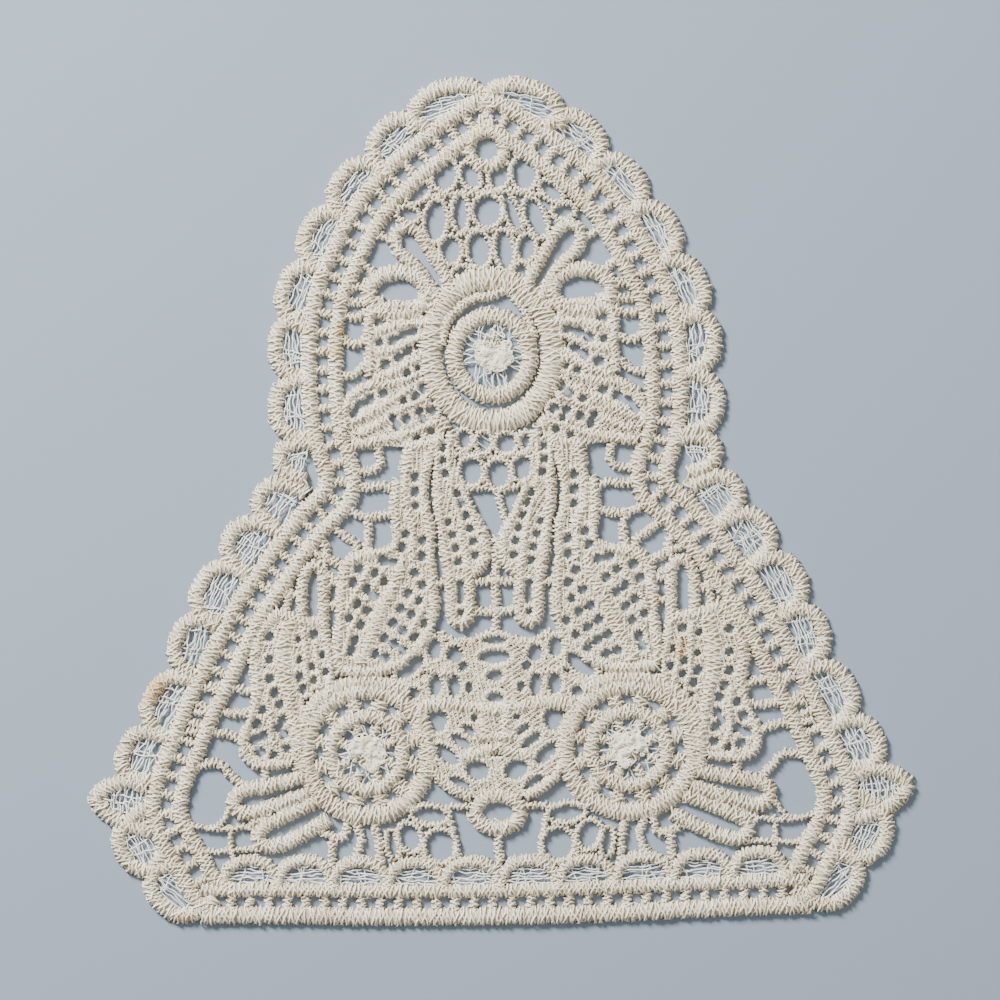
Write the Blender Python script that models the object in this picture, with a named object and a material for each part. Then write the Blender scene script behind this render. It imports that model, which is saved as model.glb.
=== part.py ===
"""Lace neck patch: an openwork panel of padded, thread-wound cords, lying flat with its wrong side down.

The patch is drawn as cords: each has a route from end to end and a width, in millimetres, seen from
above with the patch upright and its axis of symmetry at x = 0. The left half is laid out and the right half
mirrors it, with the slight stretch of the real piece added at the end. Every piece of the patch becomes one
closed solid: the union of its cords and of the dense ground between them, flat below, and raised to a ridge
along each cord above.
"""

import math
from collections import namedtuple

import bpy
import numpy as np
from mathutils import Matrix, Vector
from mathutils.geometry import delaunay_2d_cdt
from mathutils.kdtree import KDTree

# Driving dimensions, in millimetres
SEAM = 0.3  # clear gap between neighbouring pieces
GROUND_HEIGHT = 1.0  # dense ground between cords
CORD_EDGE_HEIGHT = 1.1
CORD_HEIGHT = 2.0  # along the middle of a padded cord
BAR_HEIGHT = 1.4  # a thin connecting bar is level across
BORDER_WIDTH = 3.1  # scallop arcs and the outer border cord
FRAME_WIDTH = 2.7  # inner border cord
BAR_WIDTH = 1.4
LADDER_REACH = 2.75  # from the ladder's middle line to the border cord on either side of it
LADDER_WEB = 3.8
HEM_WEB = 6.2
HEM_REACH = 60.6  # the hem's cords end this far from the axis
GROUND_SHARE = 0.8  # how far down a scallop's depth its ground reaches
SECTION_STEP = 4.8  # spacing of sections along a route
RING_STEP = 2.4  # the same round rings
BAND_STEP = 3.2  # and round hairpins and the widest band
SLICE_STEP = 4.0  # spacing of the slices that fill a circle
WELD = 0.06  # points nearer than this become one
MILLIMETRE = 0.001

# A scallop's crown: where its points stand along it, and how its shoulders round off
CROWN_SHARES = (0.0, 0.06, 0.20, 0.40, 0.60, 0.80, 0.94, 1.0)
CROWN_ROUNDING = 2.2

# The real piece lies a little wider on its right and snakes slightly about its axis, from the shoulders down
WIDENING = 0.9
WIDENING_REACH = 44.0  # distance from the axis where it is full
SNAKING = 0.25
SNAKING_RATE = 0.06  # radians for each millimetre along the axis
SNAKING_START = 1.1
SHOULDER = (70.0, 30.0)  # height where both begin, and over what length they grow

Cord = namedtuple("Cord", "route width height edge")

# Middle line of the ladder that runs round the whole patch: x, y from the top centre down the left side and
# along the hem to the bottom centre
LADDER = (
    (0.0, 77.4),
    (-5.6, 73.9),
    (-12.5, 68.8),
    (-18.6, 63.6),
    (-24.2, 57.2),
    (-28.2, 50.0),
    (-31.6, 43.0),
    (-33.7, 35.6),
    (-34.3, 27.9),
    (-34.3, 20.0),
    (-33.3, 12.2),
    (-31.3, 6.2),
    (-31.8, 1.2),
    (-36.6, -3.6),
    (-41.2, -9.0),
    (-45.6, -15.2),
    (-50.0, -21.4),
    (-53.4, -28.0),
    (-56.8, -35.0),
    (-60.3, -42.0),
    (-63.2, -49.0),
    (-66.0, -55.6),
    (-67.2, -61.2),
    (-65.4, -66.8),
    (-62.4, -72.2),
    (-59.8, -77.0),
    (-55.5, -79.9),
    (-40.0, -80.2),
    (-20.0, -80.8),
    (0.0, -81.0),
)
HEM_START = 26  # row of the ladder where the hem begins

# Scallops of the outline, from the top centre down the left side: x and y of the notch where one starts,
# how far it bulges past the line to the next notch, how square its crown is, and how far inside that line
# it stands
SCALLOPS = (
    (0.0, 82.2, 4.0, 2.4, 4.4),
    (-15.7, 77.9, 2.7, 2.8, 6.2),
    (-24.4, 69.2, 2.6, 2.8, 6.2),
    (-32.5, 59.5, 2.6, 2.8, 6.2),
    (-38.5, 48.6, 2.6, 2.8, 6.2),
    (-43.0, 36.9, 2.6, 2.8, 6.2),
    (-43.0, 24.8, 2.8, 2.8, 6.2),
    (-43.1, 12.7, 1.5, 2.6, 10.2),
    (-44.4, 5.6, 2.2, 2.6, 9.4),
    (-49.5, -2.2, 2.6, 2.8, 7.8),
    (-55.6, -11.0, 2.7, 2.8, 6.2),
    (-61.7, -21.7, 2.7, 2.8, 6.2),
    (-65.4, -32.8, 2.7, 2.8, 6.2),
    (-71.7, -43.9, 2.7, 2.8, 6.2),
    (-76.5, -54.0, 5.7, 1.4, 6.2),
    (-78.0, -64.0, 2.5, 2.8, 6.2),
    (-72.6, -74.9, 2.9, 2.6, 6.2),
)
SCALLOPS_END = (-62.6, -83.9)

# Hem arcs stand on these places of the hem's upper cord
HEM_CUSPS = (-56.2, -45.4, -34.0, -22.7, -11.6, 0.0)
HEM_ARC_RISE = 6.6
HEM_ARC_BULGE = 1.4
HEM_ARC_SQUARENESS = 2.6

# Cords of each interior motif, left half: width, then the route
TOP_RING = (0.0, 69.9, 3.55, 3.55, 2.9)  # x, y, radii, width
TOP_BARS = (
    ((0.0, 66.0), (0.0, 61.3)),
    ((-5.3, 67.9), (-5.4, 61.9)),
    ((-13.4, 63.8), (-12.2, 62.2), (-8.8, 61.3), (-5.3, 61.9), (-2.2, 60.9), (0.0, 61.3)),
    ((-13.8, 59.8), (-13.4, 57.0), (-13.6, 54.2)),
    ((-17.5, 59.6), (-15.2, 59.2), (-13.6, 59.6)),
    ((-13.0, 63.6), (-13.2, 61.5), (-13.8, 59.6)),
    ((-7.1, 61.3), (-7.0, 54.6)),
    ((-3.0, 61.0), (-2.9, 54.6)),
    ((-13.6, 54.2), (-11.0, 53.2), (-9.0, 53.6), (-7.0, 54.7), (-2.9, 54.4), (0.0, 54.9)),
    ((-4.6, 54.5), (-4.5, 47.0)),
    ((0.3, 54.8), (0.5, 46.4)),
    ((-8.9, 47.6), (-6.2, 46.6), (-4.0, 46.6)),
)
HAIRPIN = (
    (-8.1, 40.4),
    (-9.4, 45.6),
    (-12.1, 50.4),
    (-14.2, 53.9),
    (-16.7, 55.0),
    (-18.6, 52.9),
    (-16.4, 49.2),
    (-13.2, 45.4),
    (-10.8, 40.6),
)
EAR = (-18.4, 42.1, 5.1, 3.4, 2.7)
EAR_BARS = (
    ((-22.3, 44.2), (-24.8, 46.4), (-27.2, 47.8)),
    ((-20.4, 38.8), (-24.4, 38.4), (-26.8, 36.4), (-30.0, 37.6)),
    ((-12.8, 38.6), (-18.0, 37.9), (-22.0, 38.6)),
)
FLOWER_BAND = (0.0, 29.6, 12.3, 14.3, 4.5)
FLOWER_RING = (0.0, 28.7, 7.7, 7.7, 3.6)
FLOWER_DISC = (0.0, 28.9, 1.9, 1.9, 4.2)
FLOWER_WEB = (0.0, 28.8, 11.2)  # x, y and radius of the ground

# Wing beside the flower: width and route of each cord, from its upper edge down
WING_CORDS = (
    (3.0, ((-12.8, 36.4), (-18.4, 36.6), (-22.6, 36.0), (-24.6, 33.0), (-24.9, 29.0), (-24.0, 25.6))),
    (4.6, ((-14.8, 35.4), (-15.6, 27.0), (-13.4, 19.4), (-9.4, 13.6))),
    (2.6, ((-16.0, 28.4), (-20.6, 30.4), (-24.6, 31.0))),
    (3.2, ((-15.6, 23.0), (-20.4, 24.6), (-24.6, 24.8), (-28.4, 21.6), (-29.8, 17.6), (-28.6, 13.4))),
    (2.6, ((-14.6, 18.4), (-21.0, 20.0), (-29.0, 18.8))),
    (3.0, ((-12.0, 12.8), (-17.6, 14.4), (-23.0, 13.0), (-28.8, 13.2))),
)
WING_BARS = (
    ((-24.6, 33.0), (-27.4, 31.2), (-30.4, 32.8)),
    ((-25.0, 27.8), (-28.0, 25.2), (-30.6, 25.2)),
    ((-24.0, 12.6), (-22.9, 7.4), (-25.8, 5.8), (-29.0, 6.6)),
)
NECK_BARS = (
    ((-6.9, 9.4), (-4.4, 8.9), (-2.2, 8.2), (0.0, 8.7)),
    ((-4.2, 15.2), (-4.4, 9.0)),
    ((0.2, 15.4), (0.0, 8.6)),
    ((-2.6, 8.4), (-2.9, 2.6)),
    ((-6.6, 2.6), (-4.6, 2.4), (-2.9, 2.6), (-1.4, 1.2), (0.0, 1.0)),
    ((0.0, 1.0), (0.3, -5.4)),
)
FINGER = (
    (-11.4, 12.6),
    (-10.0, 4.0),
    (-9.2, -5.0),
    (-8.9, -12.0),
    (-8.6, -22.0),
    (-6.8, -24.4),
    (-5.0, -22.0),
    (-4.9, -13.0),
    (-5.8, -4.0),
    (-7.4, 4.0),
    (-8.6, 13.2),
)
FINGER_LOBE = ((-6.2, 1.4), (-4.0, -3.4), (-1.8, -8.0), (-2.0, -12.2), (-4.4, -15.0))
FINGER_GROUNDS = (
    ((-10.4, 10.0), (-9.2, -12.0), (-4.9, -12.0), (-7.6, 8.0)),
    ((-5.6, -2.0), (-4.9, -13.6), (-2.4, -12.0), (-2.0, -8.0)),
)
FINGER_BARS = (
    ((0.3, -8.4), (0.4, -23.4)),
    ((-4.6, -16.4), (-2.0, -16.6), (0.4, -16.2)),
    ((-4.6, -21.8), (-2.0, -22.6), (0.4, -22.2)),
)

# Fronds below the wings: width and route of each cord
FROND_CORDS = (
    (
        3.5,
        (
            (-12.4, 11.0),
            (-13.4, 4.0),
            (-13.2, -4.0),
            (-13.0, -12.0),
            (-13.6, -20.0),
            (-14.8, -26.4),
            (-18.4, -31.2),
        ),
    ),
    (
        4.2,
        (
            (-16.4, 10.8),
            (-17.9, 4.0),
            (-18.4, -4.0),
            (-19.8, -12.0),
            (-22.2, -20.0),
            (-24.8, -27.4),
            (-27.4, -33.4),
        ),
    ),
    (4.2, ((-26.0, -10.6), (-29.6, -12.8), (-30.7, -18.0), (-30.9, -24.0), (-31.6, -30.0), (-31.6, -33.6))),
)
FROND_ENDS = (
    (2.6, ((-12.0, 10.6), (-17.0, 10.8))),
    (3.0, ((-19.4, -8.4), (-23.0, -10.6), (-27.0, -10.9))),
    (2.8, ((-17.6, -31.0), (-22.4, -33.2), (-27.4, -33.8), (-31.8, -33.4))),
)
FROND_BARS = (
    ((-19.6, 1.6), (-22.4, 3.0), (-25.6, 2.6), (-28.6, 3.6)),
    ((-19.8, -2.4), (-24.0, -3.2), (-27.2, -3.0), (-30.2, -0.8)),
    ((-25.8, -3.2), (-25.4, -6.2), (-26.0, -10.4)),
    ((-33.2, -4.4), (-30.6, -6.8), (-28.2, -8.4), (-27.4, -11.0)),
    ((-12.8, -16.8), (-10.4, -16.6)),
)

# Leaf between the fronds and the ladder: width and route of each cord
SIDE_CORDS = (
    (
        3.2,
        (
            (-43.6, -21.6),
            (-47.4, -25.4),
            (-49.3, -31.0),
            (-48.6, -37.0),
            (-49.4, -42.0),
            (-50.0, -46.4),
            (-48.6, -50.8),
        ),
    ),
    (4.8, ((-40.2, -23.6), (-42.4, -29.0), (-43.0, -36.0), (-42.0, -42.0), (-41.4, -49.6))),
    (4.4, ((-35.0, -24.4), (-35.2, -29.0), (-36.6, -35.0), (-39.8, -41.6))),
)
SIDE_ENDS = (
    (2.8, ((-44.0, -22.2), (-40.0, -23.6), (-35.0, -24.4))),
    (2.8, ((-49.0, -50.8), (-45.0, -51.4), (-41.0, -50.2))),
)
HAIR_LOOP = ((-39.2, -24.0), (-39.2, -17.0), (-38.4, -13.8), (-36.6, -12.6), (-34.8, -14.4), (-34.8, -25.0))
SIDE_BARS = (
    ((-57.6, -36.4), (-52.6, -37.0), (-48.6, -38.0)),
    ((-60.4, -41.6), (-55.4, -41.6), (-51.8, -42.1), (-48.4, -41.4)),
    ((-62.0, -45.4), (-57.4, -45.8), (-54.8, -46.0), (-51.8, -47.4), (-47.6, -48.6)),
    ((-47.4, -51.6), (-47.2, -54.8)),
    ((-35.6, -13.2), (-34.0, -10.6), (-35.4, -7.2)),
    ((-39.2, -18.4), (-42.0, -18.2), (-45.6, -16.8)),
    ((-34.8, -16.6), (-32.2, -16.2)),
    ((-34.9, -20.6), (-32.0, -20.8)),
    ((-42.6, -22.2), (-42.0, -18.2), (-42.2, -14.6)),
)

ROSE = (-26.2, -50.4)
ROSE_RINGS = ((12.4, 4.1), (7.7, 3.4), (2.1, 4.3))  # radius, width
ROSE_WEB = 11.6
ROSE_PETALS = (
    (
        (-39.6, -54.4),
        (-40.2, -49.0),
        (-39.0, -44.0),
        (-35.2, -38.9),
        (-29.8, -36.6),
        (-23.8, -36.2),
        (-17.4, -38.4),
    ),
)
ROSE_FINGERS = (
    (
        (-38.4, -54.6),
        (-46.0, -56.5),
        (-51.8, -57.5),
        (-53.8, -59.9),
        (-51.6, -62.0),
        (-46.0, -60.8),
        (-38.0, -58.0),
    ),
    (
        (-36.6, -59.6),
        (-42.4, -62.2),
        (-47.4, -64.5),
        (-49.2, -66.8),
        (-47.0, -68.8),
        (-41.6, -67.3),
        (-34.2, -63.4),
    ),
)
ROSE_BARS = (
    ((-63.6, -53.6), (-59.0, -52.0), (-56.4, -51.9), (-54.4, -54.0), (-51.4, -57.0)),
    ((-21.2, -63.0), (-20.4, -67.4), (-19.8, -72.0)),
    ((-25.4, -63.4), (-24.2, -69.8), (-24.0, -72.4)),
    ((-29.8, -63.0), (-27.8, -67.4), (-29.6, -71.8)),
    ((-30.6, -62.6), (-31.0, -66.8), (-33.8, -67.0), (-36.8, -65.2)),
    ((-33.8, -67.0), (-34.0, -72.4)),
)
CORNER_BARS = (
    ((-66.0, -62.6), (-61.8, -64.2), (-58.0, -64.9), (-55.8, -63.4), (-54.6, -61.4)),
    ((-58.0, -64.9), (-54.2, -65.1), (-51.2, -64.6), (-49.2, -66.2)),
    ((-54.3, -65.0), (-54.4, -69.4), (-53.6, -72.0)),
    ((-62.4, -69.0), (-57.4, -69.6), (-54.4, -69.3), (-49.8, -69.2)),
)
BOW_RING = (0.0, -62.6, 4.5, 3.3, 2.9)
BOW_CORDS = (
    (3.8, ((0.0, -40.8), (0.0, -50.6))),
    (1.8, ((-3.6, -60.0), (-8.4, -57.3), (-12.0, -54.2), (-13.5, -50.4), (-12.6, -47.0), (-10.4, -45.2))),
    (2.6, ((0.0, -51.6), (-4.6, -51.2), (-8.4, -50.2), (-12.4, -47.4))),
    (2.0, ((0.0, -48.2), (-4.2, -48.5), (-8.4, -45.9), (-11.2, -45.0))),
    (2.8, ((0.0, -44.6), (-4.2, -43.9), (-8.2, -42.8), (-10.4, -40.6))),
    (2.4, ((0.0, -41.4), (-5.0, -41.0), (-9.6, -40.4), (-14.8, -40.8))),
    (2.2, ((0.0, -37.6), (-3.4, -36.6), (-6.8, -34.6), (-10.4, -34.2), (-13.8, -35.4), (-14.2, -40.6))),
    (2.0, ((0.0, -26.8), (-4.6, -28.0), (-5.4, -31.0), (-7.4, -34.4))),
)
BOW_BARS = (
    ((0.0, -65.0), (0.0, -72.6)),
    ((0.0, -51.4), (0.0, -59.6)),
    ((-2.6, -58.8), (-5.4, -55.4), (-8.4, -54.6), (-12.4, -53.4)),
    ((-10.1, -34.4), (-9.9, -40.4)),
    ((-6.7, -34.8), (-6.6, -40.8)),
    ((-5.0, -29.8), (0.0, -29.7)),
    ((-5.6, -33.4), (0.0, -33.5)),
    ((0.0, -33.4), (0.0, -41.0)),
    ((-4.4, -28.4), (-8.0, -29.0), (-10.8, -27.6)),
    ((-9.8, -28.4), (-10.4, -31.4), (-12.2, -34.4)),
    ((-13.8, -35.6), (-19.4, -36.6)),
)
HEM_BARS = (
    ((-6.0, -61.4), (-9.6, -61.6), (-13.0, -62.0), (-17.4, -60.6)),
    ((-9.4, -61.6), (-10.2, -65.2), (-9.0, -67.6), (-8.2, -72.0)),
    ((-10.2, -65.2), (-15.2, -65.2), (-19.6, -63.4)),
    ((-16.6, -65.2), (-15.6, -67.8), (-15.4, -72.4)),
)


def sampled(route, step, closed=False):
    """Points at about one step apart on a smooth curve through the route's own points."""
    count = len(route)
    found = []
    for i in range(count if closed else count - 1):
        if closed:
            a, b, c, d = (route[(i + k - 1) % count] for k in range(4))
        else:
            a, b, c, d = (route[min(max(i + k - 1, 0), count - 1)] for k in range(4))
        pieces = max(1, round(math.dist(b, c) / step))
        for n in range(pieces):
            t = n / pieces
            found.append(
                tuple(
                    0.5
                    * (
                        2 * q
                        + (r - p) * t
                        + (2 * p - 5 * q + 4 * r - s) * t * t
                        + (3 * q - p - 3 * r + s) * t**3
                    )
                    for p, q, r, s in zip(a, b, c, d)
                )
            )
    return found + [found[0] if closed else tuple(route[-1])]


def ellipse(x, y, radius_x, radius_y, step):
    """A closed route round an ellipse: its first point comes again at the end."""
    count = max(8, round(math.pi * (radius_x + radius_y) / step))
    turns = [2 * math.pi * i / count for i in range(count)]
    points = [(x + radius_x * math.cos(a), y + radius_y * math.sin(a)) for a in turns]
    return points + points[:1]


def normals(route):
    """Unit normals to the left of a route, turned to halve the angle at each point."""
    closed = math.dist(route[0], route[-1]) < 1e-6
    last = len(route) - 1
    found = []
    for i in range(last + 1):
        before = route[i - 1] if i else route[last - 1] if closed else route[0]
        after = route[i + 1] if i < last else route[1] if closed else route[last]
        along = (Vector(after) - Vector(before)).normalized()
        found.append(Vector((-along.y, along.x)))
    return found


def shifted(route, distance):
    """The route moved sideways, to its left when the distance is above 0."""
    return [tuple(Vector(p) + n * distance) for p, n in zip(route, normals(route))]


def cord(route, width, step=SECTION_STEP):
    return Cord(sampled(route, step), width, CORD_HEIGHT, CORD_EDGE_HEIGHT)


def bar(route):
    return Cord(sampled(route, SECTION_STEP), BAR_WIDTH, BAR_HEIGHT, BAR_HEIGHT)


def ring(x, y, radius_x, radius_y, width, step=RING_STEP):
    return Cord(ellipse(x, y, radius_x, radius_y, step), width, CORD_HEIGHT, CORD_EDGE_HEIGHT)


def disc_ground(x, y, radius):
    """Ground that fills a circle, in slices."""
    rim = ellipse(x, y, radius, radius, SLICE_STEP)
    return [((x, y), rim[i], rim[i + 1]) for i in range(len(rim) - 1)]


def mirrored_cord(item):
    return item._replace(route=[(-x, y) for x, y in item.route])


def both_sides(cords):
    """The cords and their mirror images, but for those that lie on the axis."""
    twins = [mirrored_cord(item) for item in cords if max(abs(x) for x, _ in item.route) > 1.0]
    return list(cords) + twins


def arc_over(start, end, bulge, squareness, depth):
    """A scallop's arc and the ground under it, from inside its two notches to past their line."""
    start, end = Vector(start), Vector(end)
    along = (end - start).normalized()
    outward = Vector((along.y, -along.x))
    span = (end - start).length
    rise = depth + bulge - BORDER_WIDTH / 2
    crown = [
        (t * span, -depth + rise * (1 - abs(2 * t - 1) ** squareness) ** (1 / CROWN_ROUNDING))
        for t in CROWN_SHARES
    ]
    route = [tuple(start + along * u + outward * v) for u, v in crown]
    foot = [tuple(start + along * u - outward * depth * GROUND_SHARE) for u, _ in crown]
    ground = [(foot[i], foot[i + 1], route[i + 1], route[i]) for i in range(1, len(route) - 2)]
    return Cord(route, BORDER_WIDTH, CORD_HEIGHT, CORD_EDGE_HEIGHT), ground


def ground_between(first, second, slices=6):
    """Ground that fills the space between two cords, in slices across it."""
    ends = [sampled(item.route, 0.6) for item in (first, second)]
    rims = [[points[round(i * (len(points) - 1) / slices)] for i in range(slices + 1)] for points in ends]
    left, right = rims
    return [(left[i], right[i], right[i + 1], left[i + 1]) for i in range(slices)]


def cords_of(rows):
    return [cord(route, width) for width, route in rows]


def scallop_edge():
    """The outer border: its cord, and a scallop on each stretch between two notches."""
    spine = sampled(LADDER[: HEM_START + 1], SECTION_STEP)
    cords = [Cord(shifted(spine, -LADDER_REACH), BORDER_WIDTH, CORD_HEIGHT, CORD_EDGE_HEIGHT)]
    grounds = []
    starts = [row[:2] for row in SCALLOPS] + [SCALLOPS_END]
    for row, end in zip(SCALLOPS, starts[1:]):
        arc, ground = arc_over(row[:2], end, *row[2:])
        cords.append(arc)
        grounds += ground
    return cords, grounds


def ladder_frame():
    """The inner border cord with the ladder's web."""
    spine = sampled(LADDER[: HEM_START + 1], SECTION_STEP)
    web = Cord(spine, LADDER_WEB, GROUND_HEIGHT, GROUND_HEIGHT)
    return [web, Cord(shifted(spine, LADDER_REACH), FRAME_WIDTH, CORD_HEIGHT, CORD_EDGE_HEIGHT)], []


def hem():
    """The hem: two cords with the ladder between them, and the arcs that stand on the upper one."""
    corner = (-HEM_REACH, LADDER[HEM_START][1])
    half = sampled((corner,) + LADDER[HEM_START:], SECTION_STEP)
    spine = half + [(-x, y) for x, y in reversed(half[:-1])]
    lower = Cord(shifted(spine, -LADDER_REACH), BORDER_WIDTH, CORD_HEIGHT, CORD_EDGE_HEIGHT)
    upper_route = shifted(spine, LADDER_REACH)
    upper = Cord(upper_route, FRAME_WIDTH, CORD_HEIGHT, CORD_EDGE_HEIGHT)
    cords = [lower, upper, Cord(spine, HEM_WEB, GROUND_HEIGHT, GROUND_HEIGHT)]
    grounds = []
    feet = list(HEM_CUSPS) + [-x for x in reversed(HEM_CUSPS[:-1])]
    for left, right in zip(feet, feet[1:]):
        level = min(upper_route, key=lambda p: abs(p[0] - (left + right) / 2))[1]
        depth = HEM_ARC_RISE - HEM_ARC_BULGE
        start, end = (right, level + depth), (left, level + depth)
        arc, ground = arc_over(start, end, HEM_ARC_BULGE, HEM_ARC_SQUARENESS, depth)
        cords.append(arc)
        grounds += ground
    return cords, grounds


def top_ring():
    return [ring(*TOP_RING)], []


def top_net():
    return both_sides([bar(route) for route in TOP_BARS]), []


def ear_loops():
    """The hairpin and the open ear beside it."""
    cords = [cord(HAIRPIN, 2.4, BAND_STEP), ring(*EAR)]
    return cords + [bar(route) for route in EAR_BARS], []


def flower():
    cords = [ring(*FLOWER_BAND, step=BAND_STEP), ring(*FLOWER_RING), ring(*FLOWER_DISC)]
    return cords, disc_ground(*FLOWER_WEB)


def wing():
    """Two petals of openwork beside the flower."""
    edge, root, upper_rib, lower_edge, lower_rib, foot = cords_of(WING_CORDS)
    grounds = ground_between(edge, root) + ground_between(lower_edge, foot)
    grounds += ground_between(lower_edge, root)[:3] + ground_between(foot, root)[3:]
    cords = [edge, root, upper_rib, lower_edge, lower_rib, foot]
    return cords + [bar(route) for route in WING_BARS], grounds


def neck_net():
    return both_sides([bar(route) for route in NECK_BARS]), []


def fingers():
    """The two long finger leaves, joined on the axis by their lobes and bars."""
    legs = [cord(FINGER, 3.0), cord(FINGER_LOBE, 2.8)]
    mirrored = [tuple((-x, y) for x, y in face) for face in FINGER_GROUNDS]
    return both_sides(legs + [bar(route) for route in FINGER_BARS]), list(FINGER_GROUNDS) + mirrored


def frond():
    """Two tapering leaves of openwork that sweep down from the neck."""
    inner, middle, outer = cords_of(FROND_CORDS)
    lower_middle = middle._replace(route=middle.route[len(middle.route) // 2 :])
    grounds = ground_between(inner, middle) + ground_between(lower_middle, outer)
    cords = [inner, middle, outer] + cords_of(FROND_ENDS)
    return cords + [bar(route) for route in FROND_BARS], grounds


def side_leaf():
    """The leaf beside the ladder, with the hairpin above it."""
    outer, middle, inner = cords_of(SIDE_CORDS)
    grounds = ground_between(outer, middle) + ground_between(middle, inner)
    cords = [outer, middle, inner] + cords_of(SIDE_ENDS)
    cords.append(cord(HAIR_LOOP, 2.6, BAND_STEP))
    return cords + [bar(route) for route in SIDE_BARS], grounds


def rose():
    x, y = ROSE
    cords = [ring(x, y, radius, radius, width) for radius, width in ROSE_RINGS]
    cords += [cord(route, 3.0) for route in ROSE_PETALS]
    cords += [cord(route, 2.6, BAND_STEP) for route in ROSE_FINGERS]
    cords += [bar(route) for route in ROSE_BARS]
    return cords, disc_ground(x, y, ROSE_WEB)


def corner_net():
    return [bar(route) for route in CORNER_BARS], []


def bow():
    cords = [cord(route, width) for width, route in BOW_CORDS] + [bar(route) for route in BOW_BARS]
    return [ring(*BOW_RING)] + both_sides(cords), []


def hem_net():
    return [bar(route) for route in HEM_BARS], []


# Pieces in the order of their claim to a place: name, cords and ground, whether it has a twin on the right
PIECES = (
    ("top_ring", top_ring, False),
    ("hem_edge", hem, False),
    ("scallop_edge", scallop_edge, True),
    ("ladder_frame", ladder_frame, True),
    ("top_flower", flower, False),
    ("rose", rose, True),
    ("finger_leaves", fingers, False),
    ("ear_loops", ear_loops, True),
    ("wing", wing, True),
    ("frond", frond, True),
    ("side_leaf", side_leaf, True),
    ("bow", bow, False),
    ("top_net", top_net, False),
    ("neck_net", neck_net, False),
    ("corner_net", corner_net, True),
    ("hem_net", hem_net, True),
)


def strip(item, margin=0.0):
    """Four-sided faces that cover a cord widened by a margin, and the segments of their outline."""
    half = item.width / 2 + margin
    route = [Vector(p) for p in item.route]
    is_open = math.dist(route[0], route[-1]) > 1e-6
    if margin and is_open:
        route[0] += (route[0] - route[1]).normalized() * margin
        route[-1] += (route[-1] - route[-2]).normalized() * margin
    left = [tuple(p + n * half) for p, n in zip(route, normals(route))]
    right = [tuple(p - n * half) for p, n in zip(route, normals(route))]
    steps = range(len(route) - 1)
    faces = [(left[i], right[i], right[i + 1], left[i + 1]) for i in steps]
    outline = [(left[i], left[i + 1]) for i in steps] + [(right[i], right[i + 1]) for i in steps]
    if is_open:
        outline += [(left[0], right[0]), (left[-1], right[-1])]
    return faces, outline


def covered(points, faces):
    """For each point, whether it lies inside any of the faces."""
    inside = np.zeros(len(points), bool)
    if not len(points) or not faces:
        return inside
    x, y = np.array(points, float).T
    for face in faces:
        within = np.zeros(len(points), bool)
        for (ax, ay), (bx, by) in zip(face, face[1:] + face[:1]):
            if ay != by:
                crosses = (ay > y) != (by > y)
                within ^= crosses & (x < (bx - ax) * (y - ay) / (by - ay) + ax)
        inside |= within
    return inside


def near(shapes, box, reach=1.0):
    """The shapes (faces or segments) that come near a box."""
    low_x, low_y, high_x, high_y = box
    return [
        shape
        for shape in shapes
        if max(p[0] for p in shape) > low_x - reach
        and min(p[0] for p in shape) < high_x + reach
        and max(p[1] for p in shape) > low_y - reach
        and min(p[1] for p in shape) < high_y + reach
    ]


def exposed(outline, others):
    """The segments that aren't wholly buried in other cords of the same piece."""
    if not outline:
        return []
    starts = covered([a for a, _ in outline], others)
    ends = covered([b for _, b in outline], others)
    middles = covered([((a[0] + b[0]) / 2, (a[1] + b[1]) / 2) for a, b in outline], others)
    buried = starts & ends & middles
    return [segment for segment, hidden in zip(outline, buried) if not hidden]


def triangulated(segments, kept, cut):
    """Triangles between the segments that lie inside a kept face and outside every cut face."""
    points = [Vector(p) for segment in segments for p in segment]
    edges = [(2 * i, 2 * i + 1) for i in range(len(segments))]
    points, _, faces, *_ = delaunay_2d_cdt(points, edges, [], 0, 1e-4, False)
    middles = [tuple(sum((points[v] for v in face), Vector((0.0, 0.0))) / 3) for face in faces]
    wanted = covered(middles, kept) & ~covered(middles, cut)
    return points, welded(points, [tuple(face) for face, keep in zip(faces, wanted) if keep])


def welded(points, triangles):
    """The triangles with points that nearly coincide made one, and without those that this flattens."""
    tree = KDTree(len(points))
    for i, point in enumerate(points):
        tree.insert(point.to_3d(), i)
    tree.balance()
    first = {}
    for i, point in enumerate(points):
        if i not in first:
            for _, other, _ in tree.find_range(point.to_3d(), WELD):
                first.setdefault(other, i)
    joined = {tuple(first[v] for v in triangle) for triangle in triangles}
    sized = [(abs(area_of(points, t)), t) for t in joined if len(set(t)) == 3]
    taken, found = set(), []
    for _, triangle in sorted(sized, reverse=True):
        edges = {(triangle[k], triangle[(k + 1) % 3]) for k in range(3)}
        if not edges & taken:
            taken |= edges
            found.append(triangle)
    return found


def area_of(points, triangle):
    a, b, c = (points[v] for v in triangle)
    return ((b.x - a.x) * (c.y - a.y) - (c.x - a.x) * (b.y - a.y)) / 2


def outline_of(triangles):
    """The edges that belong to one triangle only, in that triangle's direction."""
    edges = {(t[k], t[(k + 1) % 3]) for t in triangles for k in range(3)}
    return [edge for edge in edges if edge[::-1] not in edges]


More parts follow.
